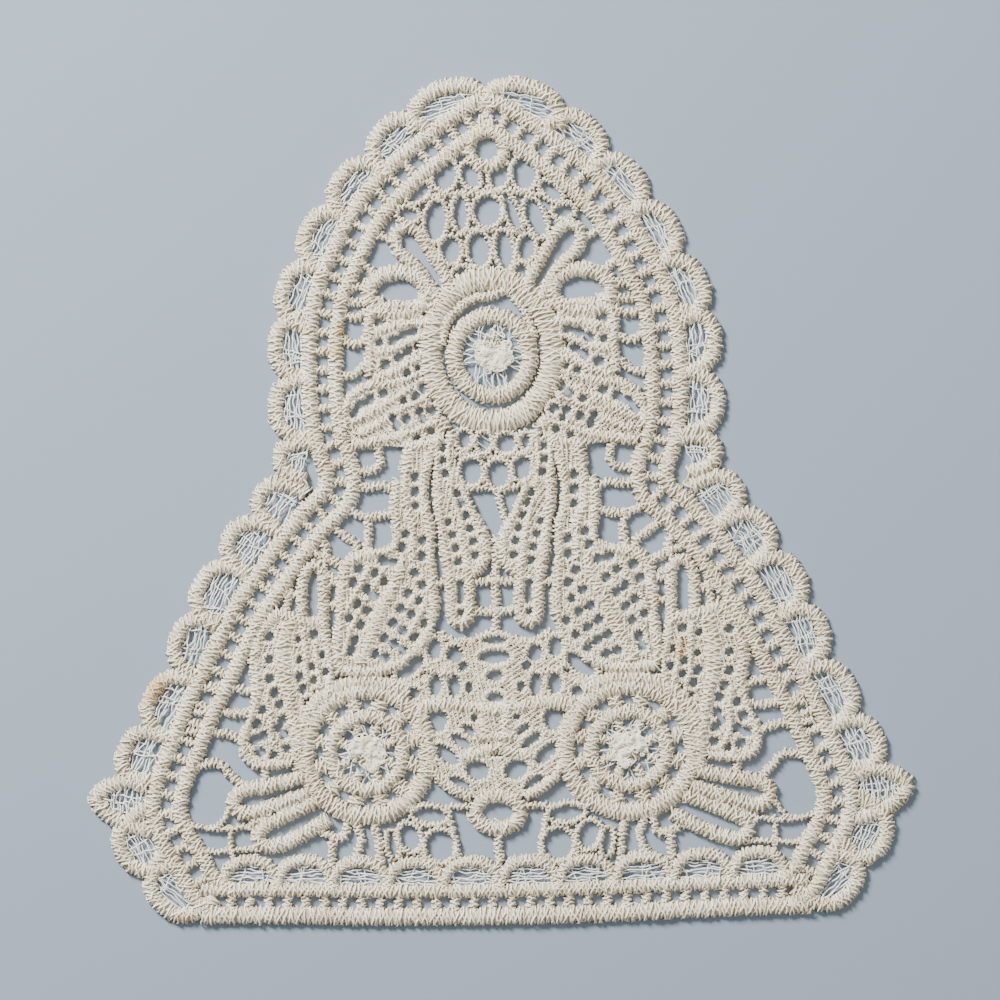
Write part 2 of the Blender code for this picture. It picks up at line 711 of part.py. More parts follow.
def underside(points, outline):
    """Triangles that fill the outline with no other points, as indices of the given points."""
    used = sorted({v for edge in outline for v in edge})
    place = {v: i for i, v in enumerate(used)}
    rims = [(place[a], place[b]) for a, b in outline]
    flat = [points[v] for v in used]
    found, _, faces, sources, *_ = delaunay_2d_cdt(flat, rims, [], 0, 1e-5, True)
    middles = np.array([tuple(sum((found[v] for v in face), Vector((0.0, 0.0))) / 3) for face in faces])
    x, y = middles.T
    inside = np.zeros(len(faces), bool)
    for a, b in outline:
        (ax, ay), (bx, by) = points[a], points[b]
        if ay != by:
            crosses = (ay > y) != (by > y)
            inside ^= crosses & (x < (bx - ax) * (y - ay) / (by - ay) + ax)
    back = [used[source[0]] if source else -1 for source in sources]
    return [tuple(back[v] for v in face) for face, keep in zip(faces, inside) if keep]


def largest_body(triangles):
    """The largest set of triangles that hang together by their edges."""
    by_edge = {}
    for index, triangle in enumerate(triangles):
        for k in range(3):
            by_edge.setdefault(frozenset((triangle[k], triangle[(k + 1) % 3])), []).append(index)
    neighbours = [set() for _ in triangles]
    for sharing in by_edge.values():
        for index in sharing:
            neighbours[index].update(sharing)
    unseen = set(range(len(triangles)))
    best = []
    while unseen:
        front = [unseen.pop()]
        group = list(front)
        while front:
            for other in neighbours[front.pop()]:
                if other in unseen:
                    unseen.remove(other)
                    front.append(other)
                    group.append(other)
        best = max(best, group, key=len)
    return [triangles[i] for i in best]


def without_pinches(triangles):
    """Drops the smaller fan wherever two fans of triangles meet at one point only."""
    while True:
        around = {}
        for triangle in triangles:
            for vertex in triangle:
                around.setdefault(vertex, []).append(triangle)
        dropped = set()
        for vertex, fan in around.items():
            groups = []
            for triangle in fan:
                touching = [g for g in groups if any(len(set(triangle) & set(t)) == 2 for t in g)]
                joined = [triangle]
                for group in touching:
                    groups.remove(group)
                    joined += group
                groups.append(joined)
            if len(groups) > 1:
                dropped.update(t for group in sorted(groups, key=len)[:-1] for t in group)
        if not dropped:
            return triangles
        triangles = largest_body([t for t in triangles if t not in dropped])


def height_at(point, cords):
    """Height of the upper side: the highest of the cords that cover the point, or the ground."""
    best = GROUND_HEIGHT
    for item in cords:
        half = item.width / 2
        for (ax, ay), (bx, by) in zip(item.route, item.route[1:]):
            dx, dy = bx - ax, by - ay
            length = dx * dx + dy * dy or 1e-9
            t = min(1.0, max(0.0, ((point[0] - ax) * dx + (point[1] - ay) * dy) / length))
            away = math.hypot(point[0] - ax - t * dx, point[1] - ay - t * dy)
            if away <= half * 1.02:
                best = max(best, item.edge + (item.height - item.edge) * (1 - min(1.0, away / half)))
    return best


def stretched(x, y):
    """Where a point of the even pattern lies on the real piece."""
    start, length = SHOULDER
    low = min(1.0, max(0.0, (start - y) / length))
    outer = min(1.0, abs(x) / WIDENING_REACH) ** 2
    snake = SNAKING * math.sin(SNAKING_RATE * y + SNAKING_START)
    return x + (WIDENING * outer + snake) * low, y


def add_solid(name, points, tops, bottoms, heights, side):
    """A closed body: upper side, flat underside and the walls between them. A side of -1 mirrors it."""
    used = sorted({v for triangle in tops for v in triangle})
    outline = outline_of(tops)
    rim = sorted({v for triangle in bottoms for v in triangle})
    flat = {v: stretched(side * points[v][0], points[v][1]) for v in used}
    high = {v: i for i, v in enumerate(used)}
    low = {v: len(used) + i for i, v in enumerate(rim)}
    places = [(*(c * MILLIMETRE for c in flat[v]), heights[v] * MILLIMETRE) for v in used]
    places += [(*(c * MILLIMETRE for c in flat[v]), 0.0) for v in rim]
    faces = [tuple(high[v] for v in triangle) for triangle in tops]
    faces += [tuple(low[v] for v in triangle[::-1]) for triangle in bottoms]
    faces += [(high[b], high[a], low[a], low[b]) for a, b in outline]
    if side < 0:
        faces = [face[::-1] for face in faces]
    mesh = bpy.data.meshes.new(name)
    mesh.from_pydata(places, [], faces)
    mesh.materials.append(cotton(name))
    bpy.context.scene.collection.objects.link(bpy.data.objects.new(name, mesh))


def cotton(name):
    """Off-white cotton thread."""
    material = bpy.data.materials.new(name + "_cotton")
    material.use_nodes = True
    shader = material.node_tree.nodes["Principled BSDF"]
    shader.inputs["Base Color"].default_value = (0.68, 0.64, 0.55, 1.0)
    shader.inputs["Roughness"].default_value = 0.9
    return material


def centre_all():
    """Moves every solid so that the middle of the whole lies over the origin."""
    meshes = [item.data for item in bpy.data.objects]
    corners = np.array([vertex.co for mesh in meshes for vertex in mesh.vertices])
    middle = (corners.min(axis=0) + corners.max(axis=0)) / 2
    for mesh in meshes:
        mesh.transform(Matrix.Translation((-middle[0], -middle[1], 0.0)))


def build_piece(name, cords, grounds, has_twin, claimed_faces, claimed_edges):
    """Meshes one piece around what earlier pieces have claimed, and returns its own claim."""
    strips = [strip(item) for item in cords]
    kept = [face for faces, _ in strips for face in faces] + grounds
    segments = []
    for i, (_, outline) in enumerate(strips):
        others = [face for k, (faces, _) in enumerate(strips) if k != i for face in faces]
        segments += exposed(outline, others)
    for item in cords:
        if item.height > item.edge:
            segments += zip(item.route, item.route[1:])
    xs = [p[0] for face in kept for p in face]
    ys = [p[1] for face in kept for p in face]
    box = (min(xs), min(ys), max(xs), max(ys))
    cut = near(claimed_faces, box)
    segments += near(claimed_edges, box)
    if has_twin:
        gap, reach = SEAM / 2, max(map(abs, ys)) + 5.0
        cut.append(((-gap, -reach), (-gap, reach), (gap + 5.0, reach), (gap + 5.0, -reach)))
        segments.append(((-gap, -reach), (-gap, reach)))
    points, tops = triangulated(segments, kept, cut)
    tops = without_pinches(largest_body(tops))
    bottoms = underside(points, outline_of(tops))
    if sorted(outline_of(bottoms)) != sorted(outline_of(tops)):
        bottoms = tops
    heights = {v: height_at(points[v], cords) for triangle in tops for v in triangle}
    for side, suffix in ((1, "_left"), (-1, "_right")) if has_twin else ((1, ""),):
        add_solid(name + suffix, points, tops, bottoms, heights, side)
    margins = [strip(item, SEAM + WELD) for item in cords]
    faces = [face for found, _ in margins for face in found] + grounds
    edges = [edge for _, found in margins for edge in found]
    if has_twin:
        faces += [tuple((-x, y) for x, y in face) for face in faces]
        edges += [tuple((-x, y) for x, y in edge) for edge in edges]
    return faces, edges


def main():
    for item in list(bpy.data.objects):
        bpy.data.objects.remove(item, do_unlink=True)
    claimed_faces, claimed_edges = [], []
    for name, make, has_twin in PIECES:
        cords, grounds = make()
        faces, edges = build_piece(name, cords, grounds, has_twin, claimed_faces, claimed_edges)
        claimed_faces += faces
        claimed_edges += edges
    centre_all()


main()
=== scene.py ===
"""Lace neck patch: an openwork panel of padded, thread-wound cotton cords, lying flat on its wrong side.

The pattern is laid out in millimetres, seen from above with the patch upright and its axis of symmetry at
x = 0. The left half is given and the right half mirrors it. Every cord is a soft core with cotton thread
wound over it turn by turn, the dense parts of the leaves are darned with threads that end at the rims of
their eyelets, and fine loose threads cross the windows of the scallops.
"""

import logging
import math
from dataclasses import dataclass
from enum import Enum

import bpy
import numpy as np
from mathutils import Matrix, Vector


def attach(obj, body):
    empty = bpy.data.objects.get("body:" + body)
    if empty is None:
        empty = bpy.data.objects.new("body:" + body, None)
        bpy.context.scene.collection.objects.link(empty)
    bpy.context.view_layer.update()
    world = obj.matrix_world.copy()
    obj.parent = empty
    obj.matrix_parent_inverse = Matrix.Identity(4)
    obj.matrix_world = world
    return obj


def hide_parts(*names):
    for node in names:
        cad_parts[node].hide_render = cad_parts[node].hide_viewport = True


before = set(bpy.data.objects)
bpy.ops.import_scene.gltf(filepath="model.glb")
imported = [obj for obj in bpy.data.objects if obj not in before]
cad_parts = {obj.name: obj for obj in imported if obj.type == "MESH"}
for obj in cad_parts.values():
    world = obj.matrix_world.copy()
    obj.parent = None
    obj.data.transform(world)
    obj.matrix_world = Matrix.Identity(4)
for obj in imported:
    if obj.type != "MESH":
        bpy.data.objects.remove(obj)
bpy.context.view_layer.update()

LOG = logging.getLogger("lace")

MATH = "ShaderNodeMath"
VECTOR_MATH = "ShaderNodeVectorMath"
PLUS = {"operation": "ADD"}
MINUS = {"operation": "SUBTRACT"}
TIMES = {"operation": "MULTIPLY"}
TIMES_PLUS = {"operation": "MULTIPLY_ADD"}
SCALED = {"operation": "SCALE"}
FLOAT = {"data_type": "FLOAT"}

Point = tuple[float, float]
Route = tuple[Point, ...]
Eyelet = tuple[float, float, float]  # x, y and radius in mm
Opening = tuple[float, float, float, float, float]  # x, y, half width, half height in mm, turn in degrees

MM = 0.001
POINT_STEP = 0.8  # spacing of the points that a cord's route is handed on with, in mm

# The real piece lies a little wider on its right and snakes about its axis, from the shoulders down
WIDENING = 0.9
WIDENING_REACH = 44.0
SNAKING = 0.25
SNAKING_RATE = 0.06
SNAKING_START = 1.1
SHOULDER_Y = 70.0
SHOULDER_LENGTH = 30.0
MIDDLE = (0.75, -0.491)  # middle of the pattern's box, which lies over the origin

# Heights and widths of cords and bars, in mm
CREST = 2.0  # height of a padded cord
ARC_CREST = 1.9  # of a scallop's arc
LOW_CREST = 1.7  # of a rib that lies deeper
BAR_CREST = 1.4  # of a thin bar
RING_CREST = 1.5  # height of the overcast ring round an opening
KNOB_CREST = 0.8  # height of the pad under a looped knob
BAR_WIDTH = 1.9
NET_BAR_WIDTH = 1.6
SATIN_SPREAD = 0.3  # how much wider satin lies than the rib that it is laid on
BURIED = 0.7  # how far a bar runs on into what it meets

# Rims of openings, in mm where no share is named
CORD_MARGIN = 0.3  # from a rim to the end of a cord's middle line
THREAD_MARGIN = 0.2  # from a rim to the end of a darned thread
EYELET_LIMIT = 1.2  # openings under this half size narrow the cords beside them
EYELET_SHARE = 0.9  # share of an eyelet's radius that those cords leave clear
EYELET_GROWTH = 1.1  # size of an eyelet's opening to the radius that it is given
SLIMMEST = 0.55  # half width that a cord keeps beside an eyelet
EYELET_RING_REACH = 0.74  # from the radius that an eyelet is given to the middle line of its ring
EYELET_RING_WIDTH = 1.3
OVERCAST_SHARE = 0.35  # share of a ring's width from an opening's rim to the ring's middle line

# Loose and darned threads, in mm
SHORTEST_ROW = 1.0  # rows of darning under this are left out
SPOKE_STRAY = 0.4  # share of the turn between two spokes
SPOKE_TWIST = 0.5  # in radians
SCRIBBLE_STEP = 1.3
LOOP_RADII = (0.45, 0.9)
LOOP_POINTS = 6  # about one radian apart
CROWN_POWER = 2.2  # how round a scallop's shoulders are
WINDOW_START = 0.15  # share of a window's height where its threads begin
WINDOW_SPACING = 0.62
WINDOW_TILT = 0.5
WINDOW_STRAY = 0.2
CROSSING_THREADS = 4
CROSSING_STRAY = 2.2
AXIS_BAND = 1.0  # a cord inside this distance of the axis is its own mirror image
STAIN_HEIGHT = 1.2  # of a stain's middle, in mm

# The core, in radii of the thread that is wound over it
CORE_INSET = 1.3  # inside the winding's edge
CORE_FOOT = 0.5  # above the surface
CORE_HEADROOM = 1.9  # under the crest
CORE_CORNERS = 5  # points of its section


class Winding(Enum):
    """How thread is laid on a route."""

    SATIN = 0.12  # full turns over a padded core, knobbly at its edges
    BAR = 0.3  # a thin bar of hard, uneven turns


@dataclass(frozen=True)
class Cord:
    """One cord of the pattern: where it runs, in mm, how wide and high it is, and how it is wound."""

    route: Route
    width: float
    crest: float = CREST
    winding: Winding = Winding.SATIN


@dataclass(frozen=True)
class Ground:
    """Darned ground inside an outline, with its threads at an angle, in degrees."""

    outline: Route
    angle: float


def sampled(route: Route, step: float = POINT_STEP) -> list[Point]:
    """Lays a smooth curve through a route's points.

    Args:
        route: Points in mm. A route whose last point is its first is closed.
        step: Spacing of the points that come back, in mm.

    Returns:
        Points about one step apart, with both ends.
    """
    closed = math.dist(route[0], route[-1]) < 1e-6
    count = len(route) - 1
    found = []
    for i in range(count):
        if closed:
            a, b, c, d = (route[(i + k - 1) % count] for k in range(4))
        else:
            a, b, c, d = (route[min(max(i + k - 1, 0), count)] for k in range(4))
        pieces = max(1, round(math.dist(b, c) / step))
        for n in range(pieces):
            t = n / pieces
            found.append(
                tuple(
                    q
                    + 0.5 * t * (r - p)
                    + 0.5 * t * t * (2 * p - 5 * q + 4 * r - s)
                    + 0.5 * t**3 * (3 * q - p - 3 * r + s)
                    for p, q, r, s in zip(a, b, c, d)
                )
            )
    return found + [route[-1]]


def even(route: list[Point], spacing: float, start: float = 0.0) -> list[tuple[Point, Point]]:
    """Walks along a route at an even spacing.

    Args:
        route: Points in mm.
        spacing: Distance between places, in mm.
        start: Distance of the first place from the route's start.

    Returns:
        A place and the unit direction of the route there, for each step.
    """
    points = np.array(route)
    lengths = np.hypot(*np.diff(points, axis=0).T)
    reach = np.concatenate(([0.0], np.cumsum(lengths)))
    places = np.arange(start, reach[-1] + 1e-6, spacing)
    x, y = (np.interp(places, reach, points[:, k]) for k in (0, 1))
    at = np.clip(np.searchsorted(reach, places, side="right") - 1, 0, len(lengths) - 1)
    along = np.diff(points, axis=0)[at] / lengths[at, None]
    return [((x[i], y[i]), (along[i, 0], along[i, 1])) for i in range(len(places))]


def shifted(route: list[Point], distance: float) -> list[Point]:
    """Moves a route sideways.

    Args:
        route: Points in mm.
        distance: How far, in mm, to the left of its direction where above 0.

    Returns:
        The moved points.
    """
    points = np.array(route)
    along = np.gradient(points, axis=0)
    along /= np.hypot(*along.T)[:, None]
    moved = points + np.column_stack((-along[:, 1], along[:, 0])) * distance
    return [tuple(p) for p in moved]


def ellipse(x: float, y: float, radius_x: float, radius_y: float) -> Route:
    """Lays a closed route round an ellipse.

    Args:
        x: Middle, in mm.
        y: Middle, in mm.
        radius_x: Half its width, in mm.
        radius_y: Half its height, in mm.

    Returns:
        The route, with its first point again at the end.
    """
    turns = np.linspace(0.0, 2 * math.pi, 37)
    points = [(x + radius_x * math.cos(a), y + radius_y * math.sin(a)) for a in turns]
    return tuple(points[:-1] + points[:1])


def placed(points: list[Point], side: int) -> np.ndarray:
    """Moves points of the even pattern to their place on the real piece.

    Args:
        points: Points of the left half, in mm.
        side: 1 for the left half, -1 for its mirror image.

    Returns:
        x and y in the part's frame, in metres, as an array of two columns.
    """
    found = np.array(points, float)
    x, y = side * found[:, 0], found[:, 1]
    low = np.clip((SHOULDER_Y - y) / SHOULDER_LENGTH, 0.0, 1.0)
    outer = np.minimum(1.0, np.abs(x) / WIDENING_REACH) ** 2
    snake = SNAKING * np.sin(SNAKING_RATE * y + SNAKING_START)
    x = x + (WIDENING * outer + snake) * low
    return np.column_stack((x - MIDDLE[0], y - MIDDLE[1])) * MM


def clear_runs(route: list[Point], openings: list[Opening], margin: float) -> list[list[Point]]:
    """Cuts a route where it crosses openings.

    Args:
        route: Points in mm.
        openings: The openings, in mm and degrees.
        margin: How far outside an opening's rim the route ends, in mm.

    Returns:
        The runs that are left, each of three points or more.
    """
    points = np.array(route)
    clear = np.ones(len(points), bool)
    for x, y, wide, high, turn in openings:
        cosine, sine = math.cos(math.radians(turn)), math.sin(math.radians(turn))
        u, v = points[:, 0] - x, points[:, 1] - y
        away = np.hypot((u * cosine + v * sine) / wide, (v * cosine - u * sine) / high)
        clear &= away > 1 + margin / math.sqrt(wide * high)
    if clear.all():
        return [route]
    found, run = [], []
    for point, is_clear in zip(route, clear):
        if is_clear:
            run.append(point)
        else:
            found.append(run)
            run = []
    return [run for run in found + [run] if len(run) > 2]


def fitted(item: Cord, openings: list[Opening], spacing: float) -> list[tuple[list[Point], list[float]]]:
    """Fits a cord between openings: it ends at their rims and narrows beside them.

    Args:
        item: The cord.
        openings: The openings of its motif, in mm and degrees.
        spacing: About how far apart the points of its route are, in mm.

    Returns:
        For each run that is left, its points and its half width at each, in mm.
    """
    found = []
    route = respaced(sampled(item.route), spacing)
    for run in clear_runs(route, openings, CORD_MARGIN):
        points = np.array(run)
        half = np.full(len(points), item.width / 2)
        for x, y, wide, high, _ in openings:
            if max(wide, high) < EYELET_LIMIT:
                room = np.hypot(points[:, 0] - x, points[:, 1] - y) - EYELET_SHARE * max(wide, high)
                half = np.minimum(half, np.maximum(room, SLIMMEST))
        found.append((run, half.tolist()))
    return found


def add_node(
    tree: bpy.types.NodeTree, kind: str, settings: dict | None = None, links: dict | None = None,
    output: int | str = 0,
) -> bpy.types.NodeSocket | None:
    """Adds a node to a tree.

    Args:
        tree: The tree.
        kind: Blender's name for the node's type.
        settings: Values of its properties, by name.
        links: For inputs by name or number, the socket that feeds it or its value.
        output: Name or number of the output that is wanted.

    Returns:
        Its output, or None where it has none.
    """
    node = tree.nodes.new(kind)
    for name, value in (settings or {}).items():
        setattr(node, name, value)
    for name, value in (links or {}).items():
        if isinstance(value, bpy.types.NodeSocket):
            tree.links.new(value, node.inputs[name])
        else:
            node.inputs[name].default_value = value
    return node.outputs[output] if node.outputs else None


def linear(colour: str) -> tuple[float, float, float, float]:
    """Turns an sRGB hex colour to linear light.

    Args:
        colour: Six hex digits after a #.

    Returns:
        Red, green, blue and an alpha of 1.
    """
    parts = [int(colour[i : i + 2], 16) / 255 for i in (1, 3, 5)]
    return (*(c / 12.92 if c <= 0.04045 else ((c + 0.055) / 1.055) ** 2.4 for c in parts), 1.0)


@dataclass(frozen=True)
class CottonThread:
    """Mercerised cotton thread, aged to ecru: a matt, fuzzy white with a soft sheen and a few brown stains.

    The stains are (x, y) in mm in the part's frame, radius in mm, strength and colour.
    """

    name: str
    pale: str
    deep: str
    stains: tuple[tuple[float, float, float, float, str], ...] = ()

    def material(self) -> bpy.types.Material:
        """Builds the material: cloudy colour, stains and the bump of its fuzz.

        Returns:
            The material.
        """
        made = bpy.data.materials.new(self.name)
        made.use_nodes = True
        tree = made.node_tree
        shader = tree.nodes["Principled BSDF"]
        spot = add_node(tree, "ShaderNodeTexCoord", output="Object")
        shade = add_node(tree, "ShaderNodeAttribute", {"attribute_name": "shade"}, output="Fac")
        # Cloudy unevenness of an old, washed piece, about 12 mm across
        clouds = add_node(tree, "ShaderNodeTexNoise", {}, {"Vector": spot, "Scale": 80.0, "Detail": 3.0})
        blend = add_node(tree, MATH, TIMES_PLUS, {0: shade, 1: 0.55, 2: clouds})
        part = add_node(tree, "ShaderNodeMapRange", {}, {"Value": blend, "From Min": 0.3, "From Max": 1.2})
        colour = add_node(
            tree,
            "ShaderNodeMix",
            {"data_type": "RGBA"},
            {0: part, 6: linear(self.deep), 7: linear(self.pale)},
            2,
        )
        patches = add_node(tree, "ShaderNodeTexNoise", {}, {"Vector": spot, "Scale": 420.0, "Detail": 2.0})
        broken = add_node(
            tree, "ShaderNodeMapRange", {}, {"Value": patches, "From Min": 0.3, "From Max": 0.6}
        )
        for x, y, radius, strength, stain in self.stains:
            away = add_node(
                tree,
                VECTOR_MATH,
                {"operation": "DISTANCE"},
                {0: spot, 1: (x * MM, y * MM, STAIN_HEIGHT * MM)},
                "Value",
            )
            near = add_node(
                tree,
                "ShaderNodeMapRange",
                {"interpolation_type": "SMOOTHSTEP"},
                {
                    "Value": away,
                    "From Min": 0.2 * radius * MM,
                    "From Max": radius * MM,
                    "To Min": 1.0,
                    "To Max": 0.0,
                },
            )
            amount = add_node(tree, MATH, TIMES, {0: near, 1: broken})
            amount = add_node(tree, MATH, TIMES, {0: amount, 1: strength})
            colour = add_node(
                tree, "ShaderNodeMix", {"data_type": "RGBA"}, {0: amount, 6: colour, 7: linear(stain)}, 2
            )
        # Fibre fuzz of the thread, drawn about 0.3 mm coarse so that it shows
        fuzz = add_node(tree, "ShaderNodeTexNoise", {}, {"Vector": spot, "Scale": 3300.0, "Detail": 2.0})
        bump = add_node(
            tree, "ShaderNodeBump", {}, {"Height": fuzz, "Strength": 0.5, "Distance": 0.12 * MM}
        )
        tree.links.new(colour, shader.inputs["Base Color"])
        tree.links.new(bump, shader.inputs["Normal"])
        shader.inputs["Roughness"].default_value = 0.85
        shader.inputs["Specular IOR Level"].default_value = 0.25
        shader.inputs["Sheen Weight"].default_value = 0.25
        shader.inputs["Sheen Roughness"].default_value = 0.5
        return made


@dataclass(frozen=True)
class FloorPaint:
    """Matt painted board: one even, pale cool grey that sets the ecru thread off."""

    colour: str = "#84909d"

    def material(self) -> bpy.types.Material:
        """Builds the material."""
        made = bpy.data.materials.new("matt_painted_board")
        made.use_nodes = True
        shader = made.node_tree.nodes["Principled BSDF"]
        shader.inputs["Base Color"].default_value = linear(self.colour)
        shader.inputs["Roughness"].default_value = 0.9
        return made


class Workshop:
    """The Geometry Nodes that wind, darn and lay the threads, and the meshes they give."""

    PITCH = 0.46  # one turn of the winding along its cord, in mm
    STEPS = 6  # points of one turn
    BUNDLE = 2.8  # turns that draw together into one knob
    WOUND_RADIUS = 0.21  # of the wound thread, in mm
    CRIMP = 0.34  # how far a point of the thread strays, in mm
    FINE_SEGMENT = 0.55  # spacing of a laid thread's points, in mm
    SECTION_CORNERS = 3  # of a thread
    GATHER = 0.35  # how far turns draw to the middle of their knob
    UNEVENNESS = 0.4  # of single turns, and of the cord's slow swell
    LEAN = 0.15  # mean slant of a turn
    WIDEST_LEAN = 1.3  # half width past which turns slant no further, in mm
    HEIGHT = 0.9  # of a turn's crown, as a share of the crest
    HEIGHT_CHANCE = 0.05
    KNOB_LIFT = 0.5  # how much knobs stand up
    STRAND_STEP = 0.0037  # between the places where two threads read the same noise, in metres
    CORD_STEP = 977.0  # between the random numbers of two cords

    def __init__(self) -> None:
        self.winding = self.winding_tree()
        self.laying = self.laying_tree()

    def new_tree(self, name: str, sizes: dict[str, float]) -> tuple[bpy.types.NodeTree, bpy.types.Node]:
        """Starts a tree with a geometry, its sizes and a material as named inputs.

        Args:
            name: The tree's name.
            sizes: Its sizes by name, with their usual values.

        Returns:
            The tree and its input node.
        """
        tree = bpy.data.node_groups.new(name, "GeometryNodeTree")
        tree.interface.new_socket("Geometry", in_out="INPUT", socket_type="NodeSocketGeometry")
        for label, value in sizes.items():
            socket = tree.interface.new_socket(label, in_out="INPUT", socket_type="NodeSocketFloat")
            socket.default_value = value
        tree.interface.new_socket("Cotton", in_out="INPUT", socket_type="NodeSocketMaterial")
        tree.interface.new_socket("Geometry", in_out="OUTPUT", socket_type="NodeSocketGeometry")
        return tree, tree.nodes.new("NodeGroupInput")

    def finish_tree(
        self,
        tree: bpy.types.NodeTree,
        given: bpy.types.Node,
        curve: bpy.types.NodeSocket,
        shade: bpy.types.NodeSocket,
    ) -> None:
        """Ends a tree: thread of a round section along the curve, made real, with its material.

        Args:
            tree: The tree.
            given: Its input node.
            curve: Socket of the finished curve.
            shade: Socket of the number that varies the thread's colour.
        """
        kept = add_node(
            tree,
            "GeometryNodeStoreNamedAttribute",
            {"data_type": "FLOAT", "domain": "POINT"},
            {"Geometry": curve, "Name": "shade", "Value": shade},
        )
        section = add_node(
            tree,
            "GeometryNodeCurvePrimitiveCircle",
            {},
            {"Resolution": self.SECTION_CORNERS, "Radius": given.outputs["Thread Radius"]},
        )
        thread = add_node(
            tree,
            "GeometryNodeCurveToMesh",
            {},
            {"Curve": kept, "Profile Curve": section, "Fill Caps": True},
        )
        smooth = add_node(tree, "GeometryNodeSetShadeSmooth", {}, {"Geometry": thread})
        real = add_node(tree, "GeometryNodeRealizeInstances", {}, {"Geometry": smooth})
        dressed = add_node(
            tree, "GeometryNodeSetMaterial", {}, {"Geometry": real, "Material": given.outputs["Cotton"]}
        )
        add_node(tree, "NodeGroupOutput", {}, {"Geometry": dressed})

    def winding_tree(self) -> bpy.types.NodeTree:
        """Builds the tree that winds thread over a route, turn by turn.

        The route's points carry half_width, crest and knobs, which is the share by which turns vary.

        Returns:
            The tree.
        """
        sizes = {
            "Pitch": self.PITCH * MM,
            "Thread Radius": self.WOUND_RADIUS * MM,
            "Slant": 1.0,
            "Gather": self.GATHER,
        }
        tree, given = self.new_tree("wound_thread", sizes)
        route = add_node(tree, "GeometryNodeMeshToCurve", {}, {"Mesh": given.outputs["Geometry"]})
        segment = add_node(tree, MATH, {"operation": "DIVIDE"}, {0: given.outputs["Pitch"], 1: self.STEPS})
        curve = add_node(
            tree, "GeometryNodeResampleCurve", {"mode": "LENGTH"}, {"Curve": route, "Length": segment}
        )
        # The turn that a point belongs to, and how far round the cord it is
        index = add_node(tree, "GeometryNodeSplineParameter", output="Index")
        share = add_node(tree, MATH, {"operation": "DIVIDE"}, {0: index, 1: self.STEPS})
        turn = add_node(tree, MATH, {"operation": "FLOOR"}, {0: share})
        step = add_node(tree, MATH, {"operation": "MODULO"}, {0: index, 1: self.STEPS})
        angle = add_node(tree, MATH, TIMES, {0: step, 1: math.pi / (self.STEPS - 1)})
        cosine = add_node(tree, MATH, {"operation": "COSINE"}, {0: angle})
        sine = add_node(tree, MATH, {"operation": "SINE"}, {0: angle})
        which = add_node(tree, "GeometryNodeCurveOfPoint", output="Curve Index")
        own = add_node(tree, MATH, TIMES_PLUS, {0: which, 1: self.CORD_STEP, 2: turn})
        # Four random numbers for each turn of each cord
        chance = [
            add_node(tree, "FunctionNodeRandomValue", FLOAT, {2: -1.0, 3: 1.0, "ID": own, "Seed": seed}, 1)
            for seed in (3, 7, 11, 19)
        ]
        spot = add_node(tree, "GeometryNodeInputPosition")
        # Slow unevenness along the cord, about 2 mm long
        swell = add_node(tree, "ShaderNodeTexNoise", {}, {"Vector": spot, "Scale": 560.0, "Detail": 1.0})
        swell = add_node(
            tree,
            "ShaderNodeMapRange",
            {},
            {"Value": swell, "From Min": 0.3, "From Max": 0.7, "To Min": -1.0},
        )
        # Turns draw together into knobs, half a knob out of step on the two edges
        wander = add_node(tree, "ShaderNodeTexNoise", {}, {"Vector": spot, "Scale": 260.0, "Detail": 0.0})
        wander = add_node(tree, MATH, TIMES, {0: wander, 1: 3.0})
        phase = add_node(tree, MATH, TIMES_PLUS, {0: share, 1: 1 / self.BUNDLE, 2: wander})
        far = add_node(tree, MATH, {"operation": "GREATER_THAN"}, {0: cosine, 1: 0.0})
        phase = add_node(tree, MATH, TIMES_PLUS, {0: far, 1: 0.5, 2: phase})
        phase = add_node(tree, MATH, {"operation": "FRACT"}, {0: phase})
        phase = add_node(tree, MATH, MINUS, {0: phase, 1: 0.5})
        bell = add_node(tree, MATH, TIMES, {0: phase, 1: phase})
        bell = add_node(tree, MATH, TIMES_PLUS, {0: bell, 1: -8.0, 2: 1.0})
        half, crest, knobs = (
            add_node(tree, "GeometryNodeInputNamedAttribute", FLOAT, {"Name": name})
            for name in ("half_width", "crest", "knobs")
        )
        uneven = add_node(tree, MATH, TIMES_PLUS, {0: chance[0], 1: self.UNEVENNESS, 2: bell})
        uneven = add_node(tree, MATH, TIMES_PLUS, {0: swell, 1: self.UNEVENNESS, 2: uneven})
        uneven = add_node(tree, MATH, TIMES_PLUS, {0: uneven, 1: knobs, 2: 1.0})
        # How far to the side a point lies
        reach = add_node(tree, MATH, MINUS, {0: half, 1: given.outputs["Thread Radius"]})
        reach = add_node(tree, MATH, TIMES, {0: reach, 1: uneven})
        reach = add_node(tree, MATH, TIMES, {0: reach, 1: cosine})
        tangent = add_node(tree, "GeometryNodeInputTangent")
        across = add_node(
            tree, VECTOR_MATH, {"operation": "CROSS_PRODUCT"}, {0: tangent, 1: (0.0, 0.0, 1.0)}
        )
        sideways = add_node(tree, VECTOR_MATH, SCALED, {0: across, "Scale": reach})
